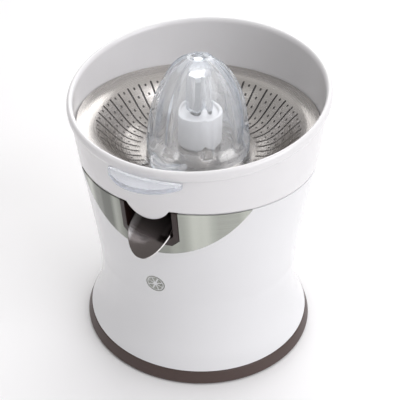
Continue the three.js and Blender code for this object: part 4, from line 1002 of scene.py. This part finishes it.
# ------------------------------------------------------------------ bowl
@dataclass
class Bowl:
    """The juice bowl: a slanted wall with a rolled lip, a floor with a chimney, and a chute."""

    form: BodyForm
    rim_z: float = 199.4 * MM
    rim_r: float = 90 * MM
    tilt: float = math.radians(9.86)
    shear_z: float = 165 * MM
    lip_h: float = 7.2 * MM
    lip_w: float = 4.5 * MM
    lip_out: float = 2.6 * MM
    wall: float = 1.9 * MM
    foot_r: float = 82 * MM
    foot_rise: float = 2 * MM
    foot_inset: float = 3.2 * MM
    edge: float = 0.9 * MM
    chute_r: float = 16.5 * MM
    chute_wall: float = 2 * MM
    chute_rim: float = 0.8 * MM
    chute_inset: float = 3.0 * MM
    chute_sag: float = 9 * MM
    chute_back_y: float = -54.5 * MM
    floor_t: float = 2.3 * MM
    floor_edge_out_r: float = 82.6 * MM
    floor_edge_in_r: float = 81.9 * MM
    floor_edge_rise: float = 3 * MM
    floor_flat_r: float = 79 * MM
    front_half: float = 20.3 * MM
    front_y: float = -72.3 * MM
    chimney_r: float = 13.5 * MM
    chimney_wall: float = 3.5 * MM
    chimney_top_z: float = 176 * MM
    ledge_r: float = 81.6 * MM
    ledge_z: float = 174.4 * MM
    ledge_w: float = 4.1 * MM
    ledge_h: float = 4 * MM
    outlet_r: float = 6 * MM
    outlet_y: float = -67 * MM
    tab_half: float = 25 * MM
    tab_out: float = 10 * MM
    tab_h: float = 3.6 * MM
    tab_edge: float = 1.1 * MM

    @property
    def lip_z(self) -> float:
        """Height where the lip starts, before the slant."""
        return self.rim_z - self.lip_h

    @property
    def wall_top_r(self) -> float:
        """Half width of the wall's outside just below the lip."""
        return self.rim_r - self.lip_out

    @property
    def middle_r(self) -> float:
        """Half width of the wall's outside where the slant begins."""
        return self.form.seam_r + 0.6 * (self.wall_top_r - self.form.seam_r)

    @property
    def chute_z(self) -> float:
        """Height of the chute's own axis."""
        return self.form.seam_z - self.chute_sag + self.chute_r

    def outside(self, z: float) -> float:
        """Half width of the wall's outside at a height before the slant."""
        if z <= self.form.seam_z:
            return self.form.radius(z)
        if z <= self.shear_z:
            t = (z - self.form.seam_z) / (self.shear_z - self.form.seam_z)
            return blend(self.form.seam_r, self.middle_r, t)
        t = (z - self.shear_z) / (self.lip_z - self.shear_z)
        return blend(self.middle_r, self.wall_top_r, min(1.0, t))

    def low_z(self, angle: float) -> float:
        """Where the wall's outside ends below: at the seam, and lower where the chute bulges out."""
        seam = self.form.seam_z + self.form.gap
        x = abs(self.form.seam_r * math.sin(angle))
        if math.cos(angle) < 0 or x >= self.chute_r:
            return seam
        return min(seam, self.chute_z - math.sqrt(self.chute_r**2 - x * x))

    def section(self, angle: float) -> list[Flat]:
        """The wall's closed section at an angle, slant included."""
        low = self.low_z(angle)
        edge = self.edge
        outer = [(self.outside(low) - 1.2 * edge, low), (self.outside(low) - 0.35 * edge, low + 0.2 * edge)]
        outer += [(self.outside(z), z) for z in spread(low + edge, self.shear_z, 12)]
        outer += [(self.outside(z), z) for z in spread(self.shear_z, self.lip_z - 1.2 * MM, 10)[1:]]
        centre_r, centre_z = self.rim_r - self.lip_w / 2, self.lip_z + self.lip_h / 2
        turns = spread(-0.44 * math.pi, math.pi, 22)
        lip = [(centre_r + self.lip_w / 2 * math.cos(t), centre_z + self.lip_h / 2 * math.sin(t))
               for t in turns]
        top_in = self.wall_top_r - self.wall
        inner = [(top_in, self.lip_z + 1.2 * MM), (top_in, self.lip_z)]
        inner += [(blend(top_in, self.middle_r - self.wall, t), blend(self.lip_z, self.shear_z, t))
                  for t in spread(0, 1, 8)[1:]]
        foot_r, foot_z = self.foot_r, self.form.seam_z + self.foot_rise
        inner += [(blend(self.middle_r - self.wall, foot_r, t), blend(self.shear_z, foot_z, t))
                  for t in spread(0, 1, 5)[1:]]
        bottom = min(low + edge, foot_z - edge)
        inner += [(self.outside(low) - self.foot_inset, blend(foot_z, bottom, 0.8))]
        return [(r, self.slanted(angle, r, z)) for r, z in outer + lip + inner]

    def slanted(self, angle: float, r: float, z: float) -> float:
        """A height once the wall slants: higher at the back, lower at the spout."""
        t = min(1.0, max(0.0, (z - self.shear_z) / (self.lip_z - self.shear_z)))
        return z + t * self.form.place(angle, r, z)[1] * math.tan(self.tilt)

    def shell(self) -> bpy.types.Object:
        """Makes the wall with its lip."""
        fine = math.radians(14)
        front = spread(-fine, fine, 150)
        rest = spread(fine, 2 * math.pi - fine, 210)[1:-1]
        return self.form.swept("bowl_wall", self.section, front + rest, 45)

    def floor(self) -> bpy.types.Object:
        """Makes the floor, its upturned edge and the chimney."""
        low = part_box("bowl")[0].z
        low = max(low, self.form.seam_z - 5 * MM)
        top = low + self.floor_t
        seat = self.form.radius(low) - self.form.wall - 2 * self.form.gap
        corners = [
            (self.chimney_r - self.chimney_wall, low, 0),
            (seat, low, 1 * MM),
            (seat, self.form.seam_z + 0.2 * MM, 0),
            (self.floor_edge_out_r, self.form.seam_z + self.floor_edge_rise, 0),
            (self.floor_edge_in_r, self.form.seam_z + self.floor_edge_rise, 0),
            (self.floor_flat_r, top, 3 * MM),
            (self.chimney_r, top, 2 * MM),
            (self.chimney_r, self.chimney_top_z, 0.8 * MM),
            (self.chimney_r - self.chimney_wall, self.chimney_top_z, 0.5 * MM),
        ]
        made = self.form.turned("bowl_floor", filleted(corners, 4), 160)
        hole = [(self.outlet_r * math.cos(a), self.outlet_r * math.sin(a)) for a in whole_turn(32)]
        cutter = prism("cutter", hole, -12 * MM, 12 * MM)
        cutter.data.transform(Matrix.Rotation(math.pi / 2, 4, "X"))
        cutter.data.transform(Matrix.Translation((0, self.outlet_y, low)))
        made = joined(made, cutter, Join.CUT)
        half = self.front_half
        front = [(-half, low - MM), (half, low - MM), (half, self.form.seam_z + self.form.gap),
                 (-half, self.form.seam_z + self.form.gap)]
        return joined(made, prism("cutter", front, -0.1, self.front_y), Join.CUT)

    def ledge(self) -> bpy.types.Object:
        """Makes the narrow ledge that the strainer's flange rests on."""
        out = self.ledge_r + self.ledge_w
        z = self.ledge_z
        corners = [
            (self.ledge_r, z, 0.3 * MM),
            (self.ledge_r + 0.2 * MM, z - 1 * MM, 0.3 * MM),
            (out, z - self.ledge_h, 0),
            (out, z, 0),
        ]
        return self.form.turned("bowl_ledge", filleted(corners, 3), 160)

    def chute(self) -> bpy.types.Object:
        """Makes the half-round chute under the floor, open at the top."""
        wall = self.chute_wall
        seam = self.form.seam_z + self.chute_rim
        half = math.acos((self.chute_z - seam) / self.chute_r)
        y_front = -self.form.oval * self.form.radius(self.form.seam_z) + self.chute_inset
        turns = spread(-half, half, 48)
        rows = []
        for y in (y_front, *spread(y_front + MM, self.chute_back_y - MM, 4), self.chute_back_y):
            rim = self.chute_rim if y in (y_front, self.chute_back_y) else 0.0
            outer = [(self.chute_r - rim, t) for t in turns]
            inner = [(self.chute_r - wall + rim / 2, t) for t in reversed(turns)]
            rows.append([(r * math.sin(t), y, self.chute_z - r * math.cos(t)) for r, t in outer + inner])
        count = len(rows[0])
        points = [p for row in rows for p in row]
        faces = grid_faces(len(rows), count, wrap_columns=True)
        for start in (0, (len(rows) - 1) * count):
            faces += [[start + i, start + i + 1, start + count - 2 - i, start + count - 1 - i]
                      for i in range(count // 2 - 1)]
        back = self.chute_back_y
        made = piece("bowl_chute", points, faces)
        plate = [(self.chute_r * math.sin(t), self.chute_z - self.chute_r * math.cos(t)) for t in turns]
        closing = prism("tool", plate, back - wall, back)
        return joined(made, closing, Join.ADD)

    def tab(self) -> bpy.types.Object:
        """Makes the clear crescent that the bowl is lifted by."""
        oval = self.form.oval
        chord_y = self.rim_r * oval * math.cos(math.asin(self.tab_half / self.rim_r))
        tip_y = self.rim_r * oval + self.tab_out
        sag = tip_y - chord_y
        r = (self.tab_half**2 + sag**2) / (2 * sag)
        half = math.asin(self.tab_half * 0.995 / r)
        top = self.lip_z - self.rim_r * oval * math.tan(self.tilt) - self.form.gap
        wall_r = self.wall_top_r + self.form.gap
        low = top - self.tab_h
        rows = []
        for a in spread(-half, half, 72):
            x = r * math.sin(a)
            out_y = -(tip_y - r) - r * math.cos(a)
            in_y = -oval * math.sqrt(wall_r**2 - x * x)
            out_y = min(out_y, in_y - 0.05 * MM)
            edge = min(self.tab_edge, 0.45 * (in_y - out_y))
            rows.append([
                (x, in_y, top), (x, blend(in_y, out_y, 0.5), top), (x, out_y + edge, top),
                (x, out_y + 0.3 * edge, top - 0.3 * edge), (x, out_y, top - edge), (x, out_y, low + edge),
                (x, out_y + 0.3 * edge, low + 0.3 * edge), (x, out_y + edge, low),
                (x, blend(in_y, out_y, 0.5), low), (x, in_y, low),
            ])
        count = len(rows[0])
        faces = grid_faces(len(rows), count, wrap_columns=True)
        last = (len(rows) - 1) * count
        faces += [list(range(count)), list(range(last + count - 1, last - 1, -1))]
        return piece("lift_tab_clear", [p for row in rows for p in row], faces, 50)

    def build(self) -> None:
        """Makes and dresses the pieces."""
        ready(self.shell(), Look.BOWL, "bowl", "bowl")
        for made in (self.floor(), self.ledge(), self.chute()):
            ready(made, Look.BOWL, "bowl")
        ready(self.tab(), Look.TAB, "bowl", "lift_tab")


# ------------------------------------------------------------------ strainer
@dataclass
class Strainer:
    """The pressed steel strainer: a flange, a wall and floor with slots and dots, and a collar."""

    form: BodyForm
    rim_r: float = 84.2 * MM
    rim_z: float = 177 * MM
    floor_z: float = 150.4 * MM
    thickness: float = 0.9 * MM
    slots: int = 42
    slot_half: float = 0.75 * MM
    slot_from: float = 42.5 * MM
    slot_to: float = 71 * MM
    phase: float = math.radians(6.5)
    dot_r: float = 0.8 * MM
    dot_rows: tuple[float, ...] = (70 * MM, 65 * MM, 60 * MM, 55 * MM, 50 * MM)
    collar_r: float = 14.8 * MM
    collar_z: float = 156 * MM
    margin: float = 3 * MM  # plain metal past the slots' ends
    profile: tuple[Flat, ...] = (  # radius, and height above the floor, in millimetres
        (15.6, 0.0), (38.2, 0.0), (45, 0.7), (52.2, 2.8), (57, 6.3), (61.7, 11.1),
        (66.2, 16.4), (70.7, 21.2), (73, 23.0), (75.2, 24.2), (80, 25.7), (84.2, 26.6),
    )

    def height(self, r: float) -> float:
        """Height of the dish's inside at a radius: flange, rounded shoulder, slope, rounded foot, floor."""
        for (r0, z0), (r1, z1) in zip(self.profile, self.profile[1:]):
            if r <= r1 * MM:
                return self.floor_z + blend(z0, z1, max(0.0, (r / MM - r0) / (r1 - r0))) * MM
        return self.rim_z

    def eased(self, r: float) -> float:
        """The dish's height, averaged over a short run so that its bends are round."""
        run = 2.4 * MM
        return sum(self.height(r + d * run) for d in (-1, -0.5, 0, 0.5, 1)) / 5

    def features(self, pitch: float) -> list[list[Flat]]:
        """The slot and the dots of one sector, as closed outlines of plan points."""
        half, low, high = self.slot_half, self.slot_from, self.slot_to
        arc = spread(0, math.pi, 6)
        slot = [(half * math.cos(a), high + half * math.sin(a)) for a in arc]
        slot += [(-half, y) for y in spread(high, low, 14)[1:-1]]
        slot += [(-half * math.cos(a), low - half * math.sin(a)) for a in arc]
        slot += [(half, y) for y in spread(low, high, 14)[1:-1]]
        dots = []
        for r in self.dot_rows:
            x, y = r * math.sin(pitch / 2), r * math.cos(pitch / 2)
            dots.append([(x + self.dot_r * math.cos(a), y + self.dot_r * math.sin(a))
                         for a in whole_turn(12)])
        return [slot, *dots]

    def solid_at(self, x: float, y: float, pitch: float) -> bool:
        """Whether a plan point of the sector is on metal."""
        if abs(x) < self.slot_half and self.slot_from < y < self.slot_to:
            return False
        if min(math.hypot(x, y - end) for end in (self.slot_from, self.slot_to)) < self.slot_half:
            return False
        rows = ((r * math.sin(pitch / 2), r * math.cos(pitch / 2)) for r in self.dot_rows)
        return all(math.hypot(x - dx, y - dy) > self.dot_r for dx, dy in rows)

    def sector(self) -> tuple[list[Flat], list[list[int]]]:
        """Triangulates one sector in plan, slot and dots cut out.

        Returns:
            The plan points and the triangles.
        """
        pitch = 2 * math.pi / self.slots
        start, end = -pitch / 4, 3 * pitch / 4
        radii = spread(self.slot_from - self.margin, self.slot_to + self.margin, 24)
        polar = [(r, start) for r in radii]
        polar += [(radii[-1], blend(start, end, t)) for t in (0.25, 0.5, 0.75)]
        polar += [(r, end) for r in reversed(radii)]
        polar += [(radii[0], blend(start, end, t)) for t in (0.75, 0.5, 0.25)]
        loops = [[(r * math.sin(a), r * math.cos(a)) for r, a in polar], *self.features(pitch)]
        coords, rim = [], []
        for loop in loops:
            first = len(coords)
            coords += [Vector(p) for p in loop]
            rim += [(first + i, first + (i + 1) % len(loop)) for i in range(len(loop))]
        for r in radii[1:-1]:
            for t in (0.1, 0.42, 0.58, 0.9):
                a = blend(start, end, t)
                coords.append(Vector((r * math.sin(a), r * math.cos(a))))
        flat, _, faces, *_ = delaunay_2d_cdt(coords, rim, [], 0, 1e-7)
        kept = []
        for f in faces:
            middle = sum((flat[i] for i in f), Vector((0, 0))) / len(f)
            angle = math.atan2(middle.x, middle.y)
            inside = start < angle < end and radii[0] < middle.length < radii[-1] + MM
            if inside and self.solid_at(middle.x, middle.y, pitch):
                kept.append(list(f))
        return [(p.x, p.y) for p in flat], kept

    def dish(self) -> bpy.types.Object:
        """Makes the dish: the pierced sectors, the plain rings on either side of them, and the collar."""
        flat, kept = self.sector()
        pitch = 2 * math.pi / self.slots
        points, faces = [], []
        for k in range(self.slots):
            first = len(points)
            turn = self.phase + k * pitch
            for x, y in flat:
                r, a = math.hypot(x, y), math.atan2(x, y)
                points.append(self.form.place(a + turn, r, self.eased(r)))
            faces += [[first + i for i in f] for f in kept]
        edges = [blend(-pitch / 4, 3 * pitch / 4, t) for t in (0, 0.25, 0.5, 0.75)]
        angles = [self.phase + k * pitch + e for k in range(self.slots) for e in edges]
        outer = [(r, self.eased(r)) for r in spread(self.slot_to + self.margin, self.rim_r, 8)]
        plain = spread(self.slot_from - self.margin, self.collar_r + 2.2 * MM, 10)
        inner = [(r, self.eased(r)) for r in plain]
        bend = [(1.3, 0.1), (0.6, 0.45), (0.15, 1.0), (0, 1.9)]
        inner += [(self.collar_r + out * MM, self.floor_z + up * MM) for out, up in bend]
        inner += [(self.collar_r, z) for z in spread(self.floor_z + 3 * MM, self.collar_z, 3)]
        for ring in (outer, inner):
            first = len(points)
            for a in angles:
                points += [self.form.place(a, r, z) for r, z in ring]
            faces += [[first + i for i in f] for f in grid_faces(len(angles), len(ring), wrap_rows=True)]
        made = piece("strainer_dish", points, faces, 60)
        if sum(f.normal.z * f.area for f in made.data.polygons) < 0:
            made.data.flip_normals()
        sheet = made.modifiers.new("sheet", "SOLIDIFY")
        sheet.thickness = self.thickness
        sheet.offset = -1
        return settle(made, 50)

    def build(self) -> None:
        """Makes and dresses the piece."""
        ready(self.dish(), Look.STRAINER, "strainer", "strainer")


# ------------------------------------------------------------------ reamer
@dataclass
class Reamer:
    """The clear fluted reamer with its skirt, paddles and hub, and the sleeve that it turns on."""

    radius: float = 36.6 * MM
    low_z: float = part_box("reamer")[0].z
    top_z: float = 221.6 * MM
    skirt_h: float = 7.4 * MM
    step: float = 0.6 * MM
    wall: float = 1.6 * MM
    follow: float = 0.35
    ribs: int = 8
    flute: float = 0.13
    flute_power: float = 4.5
    phase: float = math.radians(11)
    dip: float = 3.4 * MM
    dip_r: float = 9 * MM
    flute_gap: float = 0.6 * MM
    flute_rise: float = 3.4 * MM
    arch: float = 7 * MM
    top_fade: float = 0.35
    knurls: int = 96
    knurl: float = 0.22 * MM
    hub_r: float = 8.6 * MM
    hub_low_z: float = 182.8 * MM
    hub_top_z: float = 207 * MM
    socket_r: float = 5 * MM
    paddle_out: float = 10.5 * MM
    paddle_r: float = 14 * MM
    paddle_low_z: float = 154.6 * MM
    paddle_h: float = 4.4 * MM
    bush_r: float = 16.7 * MM
    bush_low_z: float = 158.5 * MM
    bush_top_z: float = 181 * MM
    bush_bore: float = 14 * MM
    bush_hole_r: float = 5.4 * MM
    bush_ceiling_z: float = 177.8 * MM
    bush_dish: float = 2 * MM

    @property
    def skirt_z(self) -> float:
        """Height of the skirt's top."""
        return self.low_z + self.skirt_h

    def crest(self, angle: float) -> float:
        """1 on a rib and 0 in the middle of a flute."""
        return ((1 + math.cos(self.ribs * (angle - self.phase))) / 2) ** self.flute_power

    def pull(self, angle: float, z: float) -> float:
        """How far in the surface stands, as a share of the plain dome's radius."""
        crest = self.crest(angle)
        start = self.skirt_z + self.flute_gap + self.arch * crest
        rise = smooth_step((z - start) / self.flute_rise)
        fade = 1 - self.top_fade * smooth_step((z - self.skirt_z) / (self.top_z - self.skirt_z))
        return 1 - self.flute * rise * fade * (1 - crest)

    def outer(self, angle: float) -> list[Flat]:
        """The outside at an angle, from the skirt's foot to the top's middle."""
        ridge = self.knurl * (0.5 + 0.5 * math.cos(self.knurls * angle))
        foot = [(self.radius - 0.5 * MM, self.low_z), (self.radius - ridge, self.low_z + 0.5 * MM)]
        skirt = [(self.radius - ridge, z) for z in spread(self.low_z + 1 * MM, self.skirt_z - 1.2 * MM, 5)]
        skirt += [(self.radius - 0.1 * MM, self.skirt_z - 0.7 * MM), (self.radius - self.step, self.skirt_z)]
        high = self.top_z - self.skirt_z
        dome = []
        for t in [math.sin(a) for a in spread(0.02, 0.495 * math.pi, 58)]:
            z = self.skirt_z + high * t
            r = (self.radius - self.step) * math.sqrt(1 - t * t)
            inward = self.dip * smooth_step((self.dip_r - r) / self.dip_r)
            dome.append((r * self.pull(angle, z), z - inward))
        return [*foot, *skirt, *dome, (0.02 * MM, self.top_z - self.dip)]

    def inner(self, angle: float) -> list[Flat]:
        """The inside at an angle, from the top's middle down to the foot; it follows the flutes."""
        high = self.top_z - self.skirt_z - 1.6 * self.wall
        dome = []
        for a in spread(0.5 * math.pi, 0.05, 34):
            z = self.skirt_z + high * math.sin(a)
            share = blend(1 - self.flute, self.pull(angle, z), self.follow)
            r = ((self.radius - self.step) * share - self.wall) * math.cos(a)
            dome.append((max(r, 0.02 * MM), z))
        bore = self.radius - self.wall
        low = [(bore, self.skirt_z - 1.8 * MM), (bore, self.low_z + 1 * MM), (bore + 0.3 * MM, self.low_z)]
        return dome + low

    def shell(self) -> bpy.types.Object:
        """Makes the fluted shell with its hub and hex socket."""
        rows = []
        for a in whole_turn(384):
            rows.append([(-r * math.sin(a), -r * math.cos(a), z) for r, z in self.outer(a) + self.inner(a)])
        faces = grid_faces(len(rows), len(rows[0]), wrap_rows=True, wrap_columns=True)
        made = piece("reamer_clear", [p for row in rows for p in row], faces, 70)
        hub = self.round_bar("tool", self.hub_r, self.hub_low_z, self.hub_top_z + 6 * MM, 48)
        made = joined(made, hub, Join.ADD)
        socket = self.round_bar("tool", self.socket_r, self.hub_low_z - MM, self.hub_top_z, 6)
        made = joined(made, socket, Join.CUT)
        shade(made.data, 55)
        return made

    def round_bar(self, name: str, r: float, z0: float, z1: float, sides: int) -> bpy.types.Object:
        """An upright bar round the shaft, with slightly rounded ends."""
        soft = 0.4 * MM if sides > 6 else 0.0
        outline = [(0.01 * MM, z0), (r - soft, z0), (r, z0 + soft)]
        outline += [(r, z1 - soft), (r - soft, z1), (0.01 * MM, z1)]
        rows = [[(-q * math.sin(a), -q * math.cos(a), z) for q, z in outline] for a in whole_turn(sides)]
        faces = grid_faces(sides, len(outline), wrap_rows=True, wrap_columns=True)
        return piece(name, [p for row in rows for p in row], faces)

    def paddle(self, turn: float, name: str) -> bpy.types.Object:
        """Makes one paddle that sweeps pulp off the strainer: a petal with round edges and a raised rim."""
        reach = self.radius - 0.4 * MM
        centre = self.radius + self.paddle_out - self.paddle_r
        rows = []
        half = math.acos((centre**2 + self.paddle_r**2 - reach**2) / (2 * centre * self.paddle_r))
        soft = 1.1 * MM
        low, high = self.paddle_low_z, self.paddle_low_z + self.paddle_h
        layers = [(soft, low), (0.3 * soft, low + 0.3 * soft), (0, low + soft), (0, high - soft),
                  (0.3 * soft, high - 0.3 * soft), (soft, high), (2.4 * soft, high),
                  (3.2 * soft, high - 0.8 * soft)]
        for a in spread(-(math.pi - half), math.pi - half, 56):
            row = []
            for inset, z in layers:
                r = self.paddle_r - inset
                x, y = r * math.sin(a), centre + r * math.cos(a)
                away = math.hypot(x, y)
                push = max(1.0, reach / away)
                row.append((x * push, -y * push, z))
            rows.append(row)
        count = len(layers)
        points = [p for row in rows for p in row]
        faces = grid_faces(len(rows), count)
        ends = [0, len(rows) - 1]
        middle = (0.0, -(reach + 3 * MM))
        points += [(*middle, high - 0.8 * soft), (*middle, low)]
        top, bottom = len(points) - 2, len(points) - 1
        for i in range(len(rows) - 1):
            faces.append([i * count + count - 1, (i + 1) * count + count - 1, top])
            faces.append([(i + 1) * count, i * count, bottom])
        for i in ends:
            faces.append([top, bottom, *[i * count + j for j in range(count)]])
        made = piece(name, points, faces, 50)
        made.data.transform(Matrix.Rotation(-turn, 4, "Z"))
        return made

    def bush(self) -> bpy.types.Object:
        """Makes the white sleeve with a shallow dished top."""
        hole, ceiling = self.bush_hole_r, self.bush_ceiling_z
        corners = [
            (self.bush_bore, self.bush_low_z, 0.4 * MM),
            (self.bush_r, self.bush_low_z, 0.5 * MM),
            (self.bush_r, self.bush_top_z, 0.9 * MM),
            (self.bush_r - 2.4 * MM, self.bush_top_z, 0.8 * MM),
            (self.bush_r - 3 * MM, self.bush_top_z - self.bush_dish, 0.6 * MM),
            (hole, self.bush_top_z - self.bush_dish, 0.3 * MM),
            (hole, ceiling, 0),
            (self.bush_bore, ceiling, 0),
        ]
        outline = filleted(corners, 4)
        rows = [[(-r * math.sin(a), -r * math.cos(a), z) for r, z in outline] for a in whole_turn(96)]
        faces = grid_faces(96, len(outline), wrap_rows=True, wrap_columns=True)
        return piece("reamer_sleeve", [p for row in rows for p in row], faces)

    def build(self) -> None:
        """Makes and dresses the pieces."""
        ready(self.shell(), Look.REAMER, "reamer", "reamer")
        for k in range(2):
            ready(self.paddle(self.phase + k * math.pi, f"reamer_paddle_{k + 1}"), Look.REAMER, "reamer")
        ready(self.bush(), Look.BUSH, "reamer_bush", "reamer_bush")


# ------------------------------------------------------------------ carried-over nodes
@dataclass
class Works:
    """The CAD nodes that stay as they are and get a finish and softened edges."""

    edge: float = 0.2 * MM

    def build(self) -> None:
        """Dresses every node that no piece stands for."""
        looks = {look.slot: look for look in Look}
        rows = {row["node"]: row["material_slot"] for row in frame["record"]["subparts"]}
        count = 0
        for name, node in frame["nodes"].items():
            if node.hide_render:
                continue
            looks[rows[name]].on(node)
            bevelled(node, self.edge, 50, 2)
            count += 1
        LOG.info("works: %d carried-over nodes", count)


# ------------------------------------------------------------------ studio
@dataclass
class Softbox:
    """One large soft light."""

    name: str
    place: Point
    size: Flat
    power: float
    tint: Colour = (1.0, 1.0, 1.0)
    mirrored: bool = True

    def build(self, target: Vector) -> None:
        """Makes the light and aims it at a point."""
        lamp = bpy.data.lights.new(self.name, "AREA")
        lamp.shape = "RECTANGLE"
        lamp.size, lamp.size_y = self.size
        lamp.energy = self.power
        lamp.color = self.tint
        made = bpy.data.objects.new(self.name, lamp)
        made.location = self.place
        made.rotation_euler = (target - Vector(self.place)).to_track_quat("-Z", "Y").to_euler()
        made.visible_glossy = self.mirrored
        bpy.context.scene.collection.objects.link(made)


@dataclass
class Studio:
    """Floor, lights, surroundings and camera."""

    target: Vector = field(default_factory=lambda: AXIS + Vector((0, 0, 103.8 * MM)))
    azimuth: float = math.radians(23.5)
    elevation: float = math.radians(35.78)
    distance: float = 0.5568
    lens: float = 66.96
    sensor: float = 36.0
    shift: Flat = (0.0044, 0.0008)
    floor_half: float = 3.0

    def floor(self) -> None:
        """Makes the pale floor that curves up behind the object."""
        bend, high = 1.4, 1.6
        ys = [-self.floor_half, 0.0, bend]
        profile = [(y, 0.0) for y in ys]
        profile += [(bend + 0.6 * math.sin(a), 0.6 - 0.6 * math.cos(a))
                    for a in spread(0, math.pi / 2, 12)[1:]]
        profile.append((profile[-1][0], high))
        points = [(x, y, z) for y, z in profile for x in (-self.floor_half, self.floor_half)]
        made = piece("floor", points, grid_faces(len(profile), 2), 60)
        paint = Moulded("floor_paint", (0.9, 0.895, 0.9), 0.6, peel_scale=60, dust=0, drift=0.01)
        made.data.materials.append(paint.material())

    def surroundings(self) -> None:
        """Makes a white room that is darker low down and on one side."""
        world = bpy.data.worlds.new("studio")
        bpy.context.scene.world = world
        world.use_nodes = True
        nodes = Nodes(world.node_tree)
        sky = world.node_tree.nodes["Background"]
        where = nodes.add("ShaderNodeTexCoord").outputs["Generated"]
        x, y, z = nodes.add("ShaderNodeSeparateXYZ", {0: where}).outputs
        up = nodes.ramp(z, 0.1, 0.62, 0.5, 1.0)
        front = nodes.ramp(nodes.maths("SUBTRACT", nodes.maths("MULTIPLY", x, -0.6), y), -0.1, 0.7, 1.0, 0.6)
        level = nodes.maths("MULTIPLY", up, front)
        nodes.tree.links.new(nodes.mixed(level, (0.1, 0.1, 0.1), (1.0, 0.985, 0.985)), sky.inputs["Color"])
        sky.inputs["Strength"].default_value = 0.72

    def camera(self) -> None:
        """Makes the camera at the viewing angle."""
        lens = bpy.data.cameras.new("camera")
        lens.lens, lens.sensor_width = self.lens, self.sensor
        lens.shift_x, lens.shift_y = self.shift
        made = bpy.data.objects.new("camera", lens)
        flat = math.cos(self.elevation)
        across, back = math.sin(self.azimuth) * flat, -math.cos(self.azimuth) * flat
        away = Vector((across, back, math.sin(self.elevation)))
        made.location = self.target + away * self.distance
        made.rotation_euler = (-away).to_track_quat("-Z", "Y").to_euler()
        bpy.context.scene.collection.objects.link(made)
        bpy.context.scene.camera = made

    def build(self) -> None:
        """Makes the whole studio."""
        self.floor()
        self.surroundings()
        self.camera()
        for box in (
            Softbox("key", (1.15, -0.35, 0.95), (0.9, 0.9), 8.0, (0.97, 0.97, 1.0)),
            Softbox("top", (0.1, 0.25, 1.5), (1.3, 1.1), 6.5, mirrored=False),
            Softbox("back", (-0.3, 1.25, 1.0), (1.4, 0.6), 8.0),
            Softbox("fill", (-0.9, -0.9, 1.0), (0.5, 0.7), 0.8),
        ):
            box.build(self.target)
        bpy.context.scene.view_settings.view_transform = "Standard"


def main() -> None:
    """Builds the juicer and its studio in order."""
    logging.basicConfig(level=logging.INFO, format="%(name)s %(message)s")
    form, notch = BodyForm(), NotchForm()
    Studio().build()
    for part in (
        Housing(form, notch),
        FrontPanel(form, notch),
        Spout(),
        Bowl(form),
        Strainer(form),
        Reamer(),
        Works(),
    ):
        part.build()
        LOG.info("%s done", type(part).__name__)


if __name__ == "__main__":
    main()
